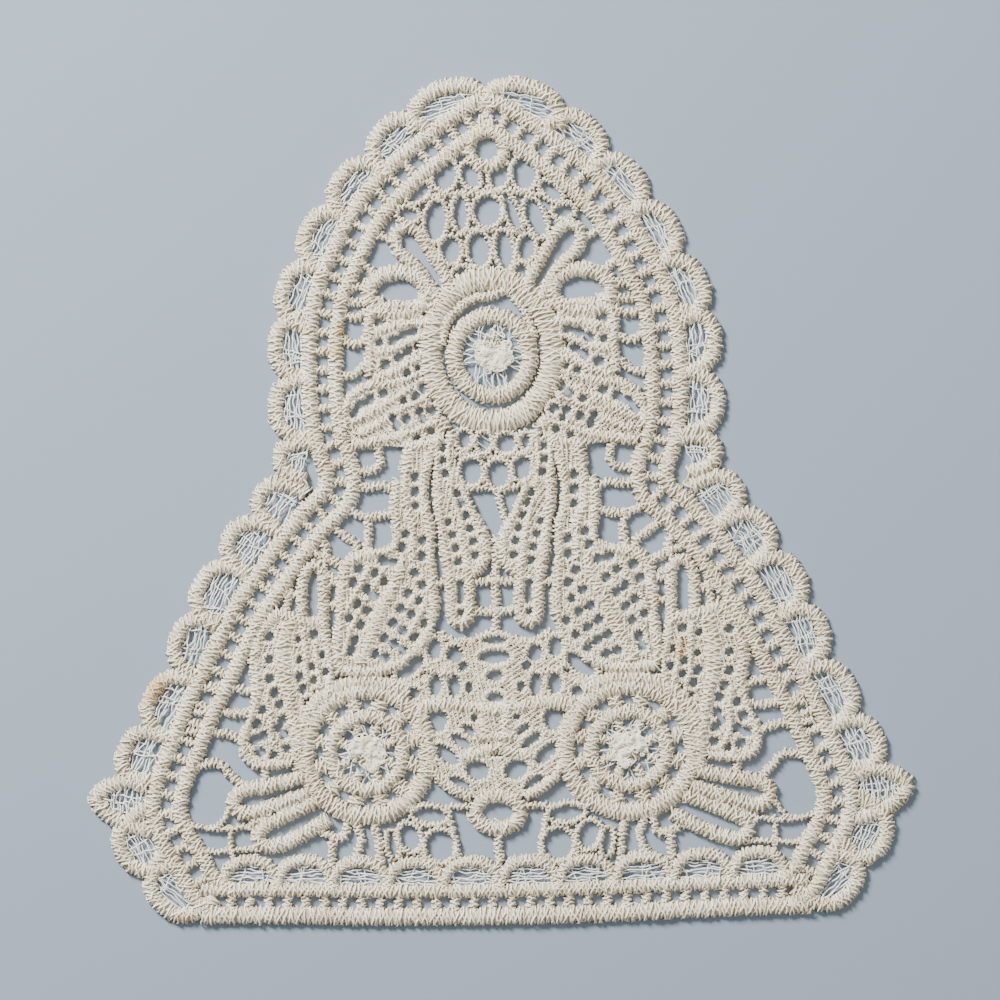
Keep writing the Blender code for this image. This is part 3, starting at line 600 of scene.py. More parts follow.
        # Every other turn leans the other way, so that the turns cross
        parity = add_node(tree, MATH, {"operation": "PINGPONG"}, {0: turn, 1: 1.0})
        slant = add_node(tree, MATH, TIMES_PLUS, {0: chance[1], 1: self.UNEVENNESS, 2: self.LEAN})
        parity = add_node(tree, MATH, MINUS, {0: parity, 1: 0.5})
        slant = add_node(tree, MATH, TIMES_PLUS, {0: parity, 1: given.outputs["Slant"], 2: slant})
        shoulder = add_node(tree, MATH, TIMES_PLUS, {0: sine, 1: 0.8, 2: 0.4})
        shoulder = add_node(tree, MATH, TIMES, {0: shoulder, 1: cosine})
        slant = add_node(tree, MATH, TIMES, {0: slant, 1: shoulder})
        narrow = add_node(tree, MATH, {"operation": "MINIMUM"}, {0: half, 1: self.WIDEST_LEAN * MM})
        slant = add_node(tree, MATH, TIMES, {0: slant, 1: narrow})
        spread = add_node(tree, MATH, {"operation": "ABSOLUTE"}, {0: cosine})
        pull = add_node(tree, MATH, TIMES, {0: spread, 1: phase})
        pull = add_node(tree, MATH, TIMES, {0: pull, 1: given.outputs["Gather"]})
        pull = add_node(tree, MATH, TIMES, {0: pull, 1: -self.BUNDLE * self.PITCH * MM})
        slant = add_node(tree, MATH, PLUS, {0: slant, 1: pull})
        forward = add_node(tree, VECTOR_MATH, SCALED, {0: tangent, "Scale": slant})
        # How high it stands
        top = add_node(tree, MATH, TIMES_PLUS, {0: given.outputs["Thread Radius"], 1: -2.0, 2: crest})
        rise = add_node(tree, MATH, TIMES_PLUS, {0: chance[2], 1: self.HEIGHT_CHANCE, 2: self.HEIGHT})
        swollen = add_node(tree, MATH, TIMES, {0: bell, 1: knobs})
        rise = add_node(tree, MATH, TIMES_PLUS, {0: swollen, 1: self.KNOB_LIFT, 2: rise})
        lift = add_node(tree, MATH, TIMES, {0: top, 1: rise})
        lift = add_node(tree, MATH, TIMES_PLUS, {0: lift, 1: sine, 2: given.outputs["Thread Radius"]})
        height = add_node(tree, "ShaderNodeCombineXYZ", {}, {"Z": lift})
        offset = add_node(tree, VECTOR_MATH, PLUS, {0: sideways, 1: forward})
        offset = add_node(tree, VECTOR_MATH, PLUS, {0: offset, 1: height})
        crimp = add_node(
            tree,
            "FunctionNodeRandomValue",
            {"data_type": "FLOAT_VECTOR"},
            {0: (-self.CRIMP * MM / 2,) * 3, 1: (self.CRIMP * MM / 2,) * 3, "Seed": 29},
        )
        offset = add_node(tree, VECTOR_MATH, PLUS, {0: offset, 1: crimp})
        wound = add_node(tree, "GeometryNodeSetPosition", {}, {"Geometry": curve, "Offset": offset})
        shade = add_node(tree, MATH, TIMES_PLUS, {0: chance[3], 1: 0.5, 2: 0.5})
        self.finish_tree(tree, given, wound, shade)
        return tree

    def laying_tree(self) -> bpy.types.NodeTree:
        """Builds the tree that lays a thread along a route, with a slight waviness.

        Returns:
            The tree.
        """
        sizes = {
            "Segment": self.FINE_SEGMENT * MM,
            "Thread Radius": 0.15 * MM,
            "Waviness": 0.5 * MM,
            "Wave Rate": 420.0,
        }
        tree, given = self.new_tree("laid_thread", sizes)
        route = add_node(tree, "GeometryNodeMeshToCurve", {}, {"Mesh": given.outputs["Geometry"]})
        curve = add_node(
            tree,
            "GeometryNodeResampleCurve",
            {"mode": "LENGTH"},
            {"Curve": route, "Length": given.outputs["Segment"]},
        )
        spot = add_node(tree, "GeometryNodeInputPosition")
        which = add_node(tree, "GeometryNodeCurveOfPoint", output="Curve Index")
        apart = add_node(tree, MATH, TIMES, {0: which, 1: self.STRAND_STEP})
        moved = add_node(tree, "ShaderNodeCombineXYZ", {}, {"Z": apart})
        moved = add_node(tree, VECTOR_MATH, PLUS, {0: spot, 1: moved})
        noise = add_node(
            tree,
            "ShaderNodeTexNoise",
            {},
            {"Vector": moved, "Scale": given.outputs["Wave Rate"], "Detail": 1.0},
            "Color",
        )
        centred = add_node(tree, VECTOR_MATH, MINUS, {0: noise, 1: (0.5, 0.5, 0.5)})
        offset = add_node(tree, VECTOR_MATH, SCALED, {0: centred, "Scale": given.outputs["Waviness"]})
        laid = add_node(tree, "GeometryNodeSetPosition", {}, {"Geometry": curve, "Offset": offset})
        shade = add_node(tree, "FunctionNodeRandomValue", FLOAT, {2: 0.0, 3: 1.0, "ID": which, "Seed": 0}, 1)
        self.finish_tree(tree, given, laid, shade)
        return tree

    def run(
        self, name: str, mesh: bpy.types.Mesh, tree: bpy.types.NodeTree, sizes: dict
    ) -> bpy.types.Object:
        """Runs a tree on a mesh of routes and keeps the plain mesh that it gives.

        Args:
            name: Name of the piece.
            mesh: Its routes.
            tree: The tree.
            sizes: Values of the tree's inputs, by name.

        Returns:
            The finished object, at the origin.
        """
        piece = bpy.data.objects.new(name, mesh)
        bpy.context.scene.collection.objects.link(piece)
        modifier = piece.modifiers.new("threads", "NODES")
        modifier.node_group = tree
        for item in tree.interface.items_tree:
            if item.name in sizes:
                modifier[item.identifier] = sizes[item.name]
        graph = bpy.context.evaluated_depsgraph_get()
        finished = bpy.data.meshes.new_from_object(piece.evaluated_get(graph))
        piece.modifiers.clear()
        piece.data = finished
        finished.name = name
        return piece

    def routes_mesh(
        self, name: str, routes: list[np.ndarray], values: dict[str, list[list[float]]]
    ) -> bpy.types.Mesh:
        """Makes a mesh of edges from routes.

        Args:
            name: Name of the mesh.
            routes: Points of each route, in metres.
            values: For each point attribute, its values along each route.

        Returns:
            The mesh, with each route a chain of edges.
        """
        points, edges = [], []
        for route in routes:
            start = len(points)
            closed = np.allclose(route[0], route[-1])
            chain = route[:-1] if closed else route
            points.extend(map(tuple, chain))
            edges += [(start + i, start + i + 1) for i in range(len(chain) - 1)]
            if closed:
                edges.append((start + len(chain) - 1, start))
        mesh = bpy.data.meshes.new(name)
        mesh.from_pydata(points, edges, [])
        for label, per_route in values.items():
            attribute = mesh.attributes.new(label, "FLOAT", "POINT")
            numbers = []
            for route, row in zip(routes, per_route):
                numbers += row[:-1] if np.allclose(route[0], route[-1]) else row
            attribute.data.foreach_set("value", np.array(numbers, np.float32))
        return mesh


def at_height(points: np.ndarray, height: float) -> np.ndarray:
    """Gives points of two columns a third, their height in metres."""
    return np.column_stack((points, np.full(len(points), height)))


def respaced(route: list[Point], spacing: float) -> list[Point]:
    """Gives a route points at an even spacing.

    Args:
        route: Points in mm.
        spacing: About how far apart the new points are, in mm.

    Returns:
        The new points, with both ends.
    """
    points = np.array(route)
    reach = np.concatenate(([0.0], np.cumsum(np.hypot(*np.diff(points, axis=0).T))))
    places = np.linspace(0.0, reach[-1], max(3, round(reach[-1] / spacing)) + 1)
    return list(zip(*(np.interp(places, reach, points[:, k]) for k in (0, 1))))


def core_mesh(
    cords: list[tuple[list[Point], list[float], Cord, int]], radius: float
) -> tuple[np.ndarray, list[list[int]]]:
    """Sweeps the soft core inside each winding.

    Args:
        cords: Each run of a cord's route with its half widths in mm, the cord and its side.
        radius: Radius of the thread wound over it, in mm.

    Returns:
        Points in metres and four-sided faces with indices into them.
    """
    angles = np.linspace(0.0, math.pi, CORE_CORNERS)
    points, faces, start = [], [], 0
    for run, half_widths, item, side in cords:
        route = placed(run, side)
        closed = np.allclose(route[0], route[-1])
        if closed:
            route = route[:-1]
            along = np.roll(route, -1, axis=0) - np.roll(route, 1, axis=0)
        else:
            along = np.gradient(route, axis=0)
        along /= np.hypot(*along.T)[:, None]
        across = np.column_stack((along[:, 1], -along[:, 0]))
        half = (np.array(half_widths[: len(route)]) - CORE_INSET * radius)[:, None] * MM
        low, high = CORE_FOOT * radius * MM, (item.crest - CORE_HEADROOM * radius) * MM
        if side < 0:
            across = -across
        ring = []
        for angle in angles:
            spot = route + across * half * math.cos(angle)
            ring.append(at_height(spot, low + (high - low) * math.sin(angle)))
        count, sides = len(route), len(angles)
        points.append(np.stack(ring, axis=1).reshape(-1, 3))
        for i in range(count if closed else count - 1):
            j = (i + 1) % count
            for k in range(sides):
                m = (k + 1) % sides
                quad = (i * sides + k, i * sides + m, j * sides + m, j * sides + k)
                faces.append([start + v for v in (quad if side > 0 else quad[::-1])])
        start += count * sides
        if not closed:
            for end, turned in ((0, side > 0), (count - 1, side < 0)):
                base = start - count * sides + end * sides
                cap = [base + k for k in range(sides)]
                cap = cap[::-1] if turned else cap
                faces.append((cap[0], cap[1], cap[2], cap[3]))
                faces.append((cap[0], cap[3], cap[4]))
    return np.concatenate(points), faces


def darned(ground: Ground, openings: list[Opening], spacing: float, step: float) -> list[list[Point]]:
    """Lays the threads of a darned ground.

    Args:
        ground: The ground.
        openings: The openings in it, at whose rims the threads end.
        spacing: Distance between threads, in mm.
        step: Spacing of the points of a thread, in mm.

    Returns:
        The threads' routes.
    """
    turn = math.radians(ground.angle)
    along, across = Vector((math.cos(turn), math.sin(turn))), Vector((-math.sin(turn), math.cos(turn)))
    flat = [(Vector(p).dot(along), Vector(p).dot(across)) for p in ground.outline]
    low, high = min(v for _, v in flat), max(v for _, v in flat)
    found = []
    for row in range(1, int((high - low) / spacing)):
        level = low + row * spacing
        hits = []
        for (ua, va), (ub, vb) in zip(flat, flat[1:] + flat[:1]):
            if (va > level) != (vb > level):
                hits.append(ua + (ub - ua) * (level - va) / (vb - va))
        hits.sort()
        for first, last in zip(hits[::2], hits[1::2]):
            if last - first < SHORTEST_ROW:
                continue
            places = np.linspace(first, last, max(3, round((last - first) / step)))
            route = [tuple(along * place + across * level) for place in places]
            found += clear_runs(route, openings, THREAD_MARGIN)
    return found


@dataclass
class Motif:
    """A piece of the lace that stands for one CAD node, or for a left and a right one.

    Its methods give the left half's cords, grounds and threads, or the whole's where it has no twin.
    """

    node: str
    twin: bool

    def cords(self) -> list[Cord]:
        """Gives the cords."""
        raise NotImplementedError

    def grounds(self) -> list[Ground]:
        """Gives the darned grounds."""
        return []

    def openings(self) -> list[Opening]:
        """Gives the eyelets and openings."""
        return []

    def loose(self) -> list[Route]:
        """Gives the routes of the fine loose threads."""
        return []

    def tangles(self) -> list[Route]:
        """Gives the routes of the looped threads that lie on a knob."""
        return []

    def sides(self) -> list[tuple[str, int]]:
        """Gives the node name and the side of each copy."""
        if self.twin:
            return [(self.node + "_left", 1), (self.node + "_right", -1)]
        return [(self.node, 1)]


def both(cords: list[Cord]) -> list[Cord]:
    """Adds the mirror image of each cord that isn't on the axis."""
    twins = [
        Cord(tuple((-x, y) for x, y in c.route), c.width, c.crest, c.winding)
        for c in cords
        if max(abs(x) for x, _ in c.route) > AXIS_BAND
    ]
    return cords + twins


def both_grounds(grounds: list[Ground]) -> list[Ground]:
    """Adds the mirror image of each ground."""
    return grounds + [Ground(tuple((-x, y) for x, y in g.outline), -g.angle) for g in grounds]


def both_openings(openings: list[Opening]) -> list[Opening]:
    """Adds the mirror image of each opening."""
    return openings + [(-x, y, wide, high, -turn) for x, y, wide, high, turn in openings if abs(x) > 0.1]


def rounds(eyelets: tuple[Eyelet, ...]) -> list[Opening]:
    """Gives eyelets as openings."""
    return [(x, y, EYELET_GROWTH * radius, EYELET_GROWTH * radius, 0.0) for x, y, radius in eyelets]


def lengthened(route: Route, reach: float) -> Route:
    """Carries both ends of a route on, so that they are buried in what they meet.

    Args:
        route: The route, in mm.
        reach: How far its ends are carried on, in mm.

    Returns:
        The longer route.
    """
    ends = []
    for near, next_point in ((route[0], route[1]), (route[-1], route[-2])):
        away = (Vector(near) - Vector(next_point)).normalized() * reach
        ends.append((near[0] + away.x, near[1] + away.y))
    return (ends[0],) + route[1:-1] + (ends[1],)


def bars(routes: tuple[Route, ...], width: float = BAR_WIDTH) -> list[Cord]:
    """Makes thin bars of routes."""
    return [Cord(lengthened(route, BURIED), width, BAR_CREST, Winding.BAR) for route in routes]


def cords_of(rows: tuple[tuple[float, Route], ...]) -> list[Cord]:
    """Makes cords of widths and routes."""
    return [Cord(route, width + SATIN_SPREAD) for width, route in rows]


def spokes(x: float, y: float, inner: float, outer: float, count: int, seed: int) -> list[Route]:
    """Lays loose threads from a knob out to the ring round it.

    Args:
        x: Middle, in mm.
        y: Middle, in mm.
        inner: Distance of their inner ends from the middle, in mm.
        outer: Distance of their outer ends.
        count: How many.
        seed: Sets how they stray.

    Returns:
        Their routes.
    """
    chance = np.random.default_rng(seed)
    found = []
    for i in range(count):
        turn = 2 * math.pi * (i + chance.uniform(-SPOKE_STRAY, SPOKE_STRAY)) / count
        twist = chance.uniform(-SPOKE_TWIST, SPOKE_TWIST)
        ends = [(inner, turn), ((inner + outer) / 2, turn + twist / 2), (outer, turn + twist)]
        found.append(tuple((x + r * math.cos(a), y + r * math.sin(a)) for r, a in ends))
    return found


def eyelet_rings(eyelets: tuple[Eyelet, ...]) -> list[Cord]:
    """Makes the overcast ring round each eyelet of a ground."""
    return [
        Cord(ellipse(x, y, reach, reach), EYELET_RING_WIDTH, RING_CREST, Winding.BAR)
        for x, y, reach in ((x, y, radius + EYELET_RING_REACH) for x, y, radius in eyelets)
    ]


def overcast(holes: tuple[Opening, ...], width: float) -> list[Cord]:
    """Makes the bar that runs round each opening of a net.

    Args:
        holes: Middle, half width and half height in mm, and turn in degrees, of each opening.
        width: Width of the bar, in mm.

    Returns:
        The bars.
    """
    found = []
    for x, y, half_width, half_height, turn in holes:
        cosine, sine = math.cos(math.radians(turn)), math.sin(math.radians(turn))
        grow = OVERCAST_SHARE * width
        flat = ellipse(0.0, 0.0, half_width + grow, half_height + grow)
        route = tuple((x + u * cosine - v * sine, y + u * sine + v * cosine) for u, v in flat)
        found.append(Cord(route, width, RING_CREST, Winding.BAR))
    return found


def scribble(x: float, y: float, radius: float, loops: int, seed: int) -> Route:
    """Lays one thread in loose loops all over a disc.

    Args:
        x: Middle, in mm.
        y: Middle, in mm.
        radius: Radius of the disc, in mm.
        loops: How many.
        seed: Sets how they stray.

    Returns:
        The thread's route.
    """
    chance = np.random.default_rng(seed)
    place = np.zeros(2)
    found = []
    for _ in range(loops):
        place = place + chance.normal(0.0, SCRIBBLE_STEP, 2)
        away = math.hypot(*place)
        if away > radius:
            place *= chance.uniform(0.7, 1.0) * radius / away
        loop, start = chance.uniform(*LOOP_RADII), chance.uniform(0.0, 2 * math.pi)
        for k in range(LOOP_POINTS):
            angle = start + k
            found.append((x + place[0] + loop * math.cos(angle), y + place[1] + loop * math.sin(angle)))
    return tuple(found)


def rungs_round(x: float, y: float, radius: float, reach: float, count: int, width: float) -> list[Cord]:
    """Makes short bars that stand round a ring.

    Args:
        x: Middle, in mm.
        y: Middle, in mm.
        radius: Distance of the bars' middles from it, in mm.
        reach: Length of a bar, in mm.
        count: How many.
        width: Width of a bar, in mm.

    Returns:
        The bars.
    """
    found = []
    for i in range(count):
        turn = 2 * math.pi * (i + 0.5) / count
        ends = (radius - reach / 2, radius + reach / 2)
        route = tuple((x + r * math.cos(turn), y + r * math.sin(turn)) for r in ends)
        found.append(Cord(route, width, BAR_CREST, Winding.BAR))
    return found


LADDER: Route = (
    (0.0, 77.4), (-5.6, 73.9), (-12.5, 68.8), (-18.6, 63.6), (-24.2, 57.2), (-28.2, 50.0), (-31.6, 43.0),
    (-33.7, 35.6), (-34.3, 27.9), (-34.3, 20.0), (-33.3, 12.2), (-31.3, 6.2), (-31.8, 1.2), (-36.6, -3.6),
    (-41.2, -9.0), (-45.6, -15.2), (-50.0, -21.4), (-53.4, -28.0), (-56.8, -35.0), (-60.3, -42.0),
    (-63.2, -49.0), (-66.0, -55.6), (-67.2, -61.2), (-65.4, -66.8), (-62.4, -72.2), (-59.8, -77.0),
    (-55.5, -79.9), (-40.0, -80.2), (-20.0, -80.8), (0.0, -81.0),
)
HEM_START = 26  # row of the ladder where the hem begins
LADDER_REACH = 2.75  # from the ladder's middle line to the cord on either side
RUNG_PITCH = 3.8
RUNG_INSET = 0.4  # from the cord's middle line to a rung's end


def ladder_rungs(spine: list[Point], start: float) -> list[Cord]:
    """Makes the ladder's rungs.

    Args:
        spine: The ladder's middle line.
        start: Distance of the first rung from its start, in mm.

    Returns:
        The rungs, as short bars across the ladder.
    """
    found = []
    for (x, y), (u, v) in even(spine, RUNG_PITCH, start):
        reach = LADDER_REACH - RUNG_INSET
        route = ((x - v * reach, y + u * reach), (x + v * reach, y - u * reach))
        found.append(Cord(route, BAR_WIDTH, BAR_CREST, Winding.BAR))
    return found


def arc_over(
    start: Point, end: Point, bulge: float, squareness: float, depth: float, width: float
) -> tuple[Route, list[Route]]:
    """Lays a scallop's arc between two notches.

    Args:
        start: The notch where it starts, in mm.
        end: The notch where it ends.
        bulge: How far it stands past the line between them.
        squareness: How square its crown is.
        depth: How far inside that line it is rooted.
        width: Width of its cord.

    Returns:
        The arc's route, and the routes of the threads that cross its window.
    """
    first, last = Vector(start), Vector(end)
    along = (last - first).normalized()
    outward = Vector((along.y, -along.x))
    span = (last - first).length
    rise = depth + bulge - width / 2
    shares = 0.5 - 0.5 * np.cos(np.linspace(0.0, math.pi, 21))
    crown = [
        (t * span, -depth + rise * (1 - abs(2 * t - 1) ** squareness) ** (1 / CROWN_POWER)) for t in shares
    ]
    arc = tuple(tuple(first + along * u + outward * v) for u, v in crown)
    chance = np.random.default_rng(round(abs(start[0] * 10 + start[1] * 7 + end[1])))
    threads = []
    level = WINDOW_START * rise
    while level < rise - 0.4 * width:
        reach = (1 - (level / rise) ** CROWN_POWER) ** (1 / squareness)
        tilt = chance.uniform(-WINDOW_TILT, WINDOW_TILT)
        steps = np.linspace(span * (1 - reach) / 2, span * (1 + reach) / 2, 6)
        heights = level - depth + np.linspace(-tilt, tilt, 6) + chance.uniform(
            -WINDOW_STRAY, WINDOW_STRAY, 6
        )
        threads.append(tuple(tuple(first + along * u + outward * v) for u, v in zip(steps, heights)))
        level += WINDOW_SPACING
    for share in chance.uniform(0.2, 0.8, CROSSING_THREADS):
        low = first + along * span * share
        high = low + along * chance.uniform(-CROSSING_STRAY, CROSSING_STRAY)
        threads.append(
            (tuple(low - outward * 0.9 * depth), tuple(high + outward * (rise - depth - 0.5 * width)))
        )
    return arc, threads


@dataclass
class Leaf(Motif):
    """Openwork of ribs and bars over darned ground, with an overcast ring round each eyelet."""

    ribs: tuple[tuple[float, Route], ...] = ()
    routes: tuple[Route, ...] = ()
    outline: Route = ()
    angle: float = 0.0  # of the darning, in degrees
    eyelets: tuple[Eyelet, ...] = ()

    def cords(self) -> list[Cord]:
        """Gives the ribs, the bars and the rings."""
        return cords_of(self.ribs) + bars(self.routes) + eyelet_rings(self.eyelets)

    def grounds(self) -> list[Ground]:
        """Gives the ground inside the outline."""
        return [Ground(self.outline, self.angle)]

    def openings(self) -> list[Opening]:
        """Gives the eyelets."""
        return rounds(self.eyelets)


@dataclass
class Net(Motif):
    """A net of bars that run round its openings and between them."""

    holes: tuple[Opening, ...] = ()
    routes: tuple[Route, ...] = ()
    ring_width: float = 1.4
    bar_width: float = NET_BAR_WIDTH

    def cords(self) -> list[Cord]:
        """Gives the bars round the openings and between them."""
        return overcast(self.holes, self.ring_width) + bars(self.routes, self.bar_width)

    def openings(self) -> list[Opening]:
        """Gives the openings."""
        return list(self.holes)


@dataclass
class ScallopEdge(Motif):
    """The outer border: its cord, and a scallop on each stretch between two notches."""

    node: str = "scallop_edge"
    twin: bool = True
    width: float = 3.5
    arc_width: float = 3.4
    scallops: tuple[tuple[float, float, float, float, float], ...] = (
        (0.0, 82.2, 4.0, 2.4, 4.4), (-15.7, 77.9, 2.7, 2.8, 6.2), (-24.4, 69.2, 2.6, 2.8, 6.2),
        (-32.5, 59.5, 2.6, 2.8, 6.2), (-38.5, 48.6, 2.6, 2.8, 6.2), (-43.0, 36.9, 2.6, 2.8, 6.2),
        (-43.0, 24.8, 2.8, 2.8, 6.2), (-43.1, 12.7, 1.5, 2.6, 6.4), (-44.4, 5.6, 2.2, 2.6, 7.4),
        (-49.5, -2.2, 2.6, 2.8, 6.8), (-55.6, -11.0, 2.7, 2.8, 6.2), (-61.7, -21.7, 2.7, 2.8, 6.2),
        (-65.4, -32.8, 2.7, 2.8, 6.2), (-71.7, -43.9, 2.7, 2.8, 6.2), (-76.5, -54.0, 5.7, 1.4, 7.8),
        (-78.0, -64.0, 2.5, 2.8, 7.8), (-72.6, -74.9, 2.9, 2.6, 7.0),
    )
    last_notch: Point = (-62.6, -83.9)

    def arcs(self) -> list[tuple[Route, list[Route]]]:
        """Lays the arc and the window threads of each scallop."""
        starts = [row[:2] for row in self.scallops] + [self.last_notch]
        return [
            arc_over(row[:2], end, *row[2:], self.arc_width) for row, end in zip(self.scallops, starts[1:])
        ]

    def cords(self) -> list[Cord]:
        """Gives the border cord and the arcs."""
        spine = sampled(LADDER[: HEM_START + 1])
        border = Cord(tuple(shifted(spine, -LADDER_REACH)), self.width)
        return [border] + [Cord(arc, self.arc_width, ARC_CREST) for arc, _ in self.arcs()]

    def loose(self) -> list[Route]:
        """Gives the threads of the windows."""
        return [thread for _, threads in self.arcs() for thread in threads]


@dataclass
class LadderFrame(Motif):
    """The inner border cord with the ladder's rungs."""

    node: str = "ladder_frame"
    twin: bool = True
    width: float = 3.3

    def cords(self) -> list[Cord]:
        """Gives the cord and the rungs."""
        spine = sampled(LADDER[: HEM_START + 1])
        return [Cord(tuple(shifted(spine, LADDER_REACH)), self.width)] + ladder_rungs(spine, 0.2)


@dataclass
class Hem(Motif):
    """The hem: two cords with a ladder between them, and arcs that stand on the upper one."""

    node: str = "hem_edge"
    twin: bool = False
    width: float = 3.8
    upper_width: float = 3.1
    arc_width: float = 2.7
    reach: float = 60.6
    cusps: tuple[float, ...] = (-56.2, -45.4, -34.0, -22.7, -11.6, 0.0)
    rise: float = 7.2
    bulge: float = 1.4
    squareness: float = 2.6

    def spine(self) -> list[Point]:
        """Lays the hem's middle line from corner to corner."""
        half = sampled(((-self.reach, LADDER[HEM_START][1]),) + LADDER[HEM_START:])
        return half + [(-x, y) for x, y in reversed(half[:-1])]

    def arcs(self) -> list[tuple[Route, list[Route]]]:
        """Lays the arcs that stand on the upper cord and the threads of their windows.

        Returns:
            For each arc, its route and the routes of its threads.
        """
        upper = shifted(self.spine(), LADDER_REACH)
        feet = list(self.cusps) + [-x for x in reversed(self.cusps[:-1])]
        found = []
        for left, right in zip(feet, feet[1:]):
            level = min(upper, key=lambda p: abs(p[0] - (left + right) / 2))[1]
            depth = self.rise - self.bulge
            start, end = (right, level + depth), (left, level + depth)
            found.append(arc_over(start, end, self.bulge, self.squareness, depth, self.arc_width))
        return found

    def cords(self) -> list[Cord]:
        """Gives the two cords, the rungs and the arcs."""
        spine = self.spine()
        found = [Cord(tuple(shifted(spine, 0.35 - LADDER_REACH)), self.width)]
        found.append(Cord(tuple(shifted(spine, LADDER_REACH)), self.upper_width))
        return found + ladder_rungs(spine, 2.0) + [
            Cord(arc, self.arc_width, ARC_CREST) for arc, _ in self.arcs()
        ]

    def loose(self) -> list[Route]:
        """Gives the threads of the windows."""
        return [thread for _, threads in self.arcs() for thread in threads]


@dataclass
class TopRing(Motif):
    """The small ring under the notch."""

    node: str = "top_ring"
    twin: bool = False

    def cords(self) -> list[Cord]:
        """Gives the ring."""
        return [Cord(ellipse(0.0, 69.9, 3.55, 3.55), 2.9)]


@dataclass
class TopNet(Net):
    """The net of bars between the small ring and the flower."""

    node: str = "top_net"
    twin: bool = False
    ring_width: float = 1.3
    holes: tuple[Opening, ...] = (
        (-8.5, 64.9, 2.2, 3.1, -4.0), (-3.4, 64.5, 1.5, 2.6, 25.0), (2.5, 64.5, 1.7, 2.6, -20.0),
        (7.4, 64.9, 2.3, 3.2, 6.0), (-13.7, 61.3, 2.5, 1.3, 37.0), (12.7, 61.2, 2.6, 1.2, -39.0),
        (-15.8, 57.1, 2.0, 1.2, -15.0), (-10.4, 55.6, 2.0, 4.0, -5.0), (-5.4, 57.2, 1.4, 3.5, 0.0),
        (0.0, 57.5, 2.7, 3.0, 0.0), (5.0, 56.9, 1.1, 3.7, 20.0), (9.6, 56.0, 1.6, 4.0, 22.0),
        (15.2, 57.2, 2.0, 1.2, 8.0), (-7.4, 49.8, 1.9, 2.6, 6.0), (-1.8, 49.8, 2.1, 3.4, 6.0),
        (3.3, 49.7, 1.6, 3.9, 6.0), (7.7, 50.0, 1.6, 2.4, -4.0), (-5.2, 44.7, 1.8, 1.6, 0.0),
        (6.6, 45.0, 1.4, 1.8, 0.0),
    )
    routes: tuple[Route, ...] = (
        ((0.1, 62.2), (-1.4, 61.2), (-6.2, 61.2), (-11.6, 60.4)),
        ((1.2, 61.4), (5.0, 61.4), (10.4, 60.6)),
        ((-10.0, 51.0), (-4.4, 53.4), (0.4, 53.8), (6.4, 53.0)),
    )


@dataclass
class EarLoops(Motif):
    """The hairpin and the open ear beside it."""

    node: str = "ear_loops"
    twin: bool = True
    hairpin: Route = (
        (-9.9, 39.6), (-11.5, 42.2), (-13.5, 45.3), (-15.6, 47.6), (-18.1, 50.0), (-18.6, 52.8),
        (-16.8, 54.7), (-14.0, 53.6), (-12.4, 51.0), (-10.1, 47.4), (-8.2, 44.0), (-7.2, 41.2),
    )
    routes: tuple[Route, ...] = (
        ((-22.3, 44.6), (-24.6, 46.8), (-27.6, 48.0)),
        ((-24.2, 42.8), (-26.8, 42.8), (-29.8, 42.2)),
        ((-20.4, 38.4), (-24.4, 38.2), (-26.8, 36.6), (-30.2, 37.4)),
        ((-18.6, 51.8), (-21.4, 52.9), (-24.8, 54.6)),
        ((-22.0, 40.0), (-25.6, 39.6), (-29.6, 40.0)),
    )

    def cords(self) -> list[Cord]:
        """Gives the loops and the bars."""
        loops = [Cord(self.hairpin, 2.8), Cord(ellipse(-18.4, 41.4, 5.9, 4.2), 3.5)]
        return loops + bars(self.routes)


@dataclass
class Flower(Motif):
    """The large flower: a wide oval band round a ring, with a knob in the middle."""

    node: str = "top_flower"
    twin: bool = False
    spiral_end: Route = ((-9.8, 31.0), (-8.8, 35.2), (-6.0, 38.4), (-2.8, 40.2), (0.4, 40.6), (3.6, 42.0))
    inner_rib: Route = ((4.6, 40.6), (6.6, 38.0), (8.0, 35.2), (8.8, 32.0))

    def cords(self) -> list[Cord]:
        """Gives the band, the ring and the knob."""
        return [
            Cord(ellipse(0.0, 29.6, 12.4, 14.4), 5.2),
            Cord(ellipse(0.2, 28.6, 7.6, 8.0), 3.7),
            Cord(ellipse(0.5, 29.4, 1.6, 1.6), 3.2, KNOB_CREST),
            Cord(self.spiral_end, 2.3, LOW_CREST),
            Cord(self.inner_rib, 1.9, LOW_CREST),
        ]

    def loose(self) -> list[Route]:
        """Gives the loose spokes between the knob and the ring."""
        return spokes(0.4, 29.0, 3.4, 6.8, 40, 5)

    def tangles(self) -> list[Route]:
        """Gives the looped thread of the knob."""
        return [scribble(0.5, 29.4, 3.7, 120, 22)]


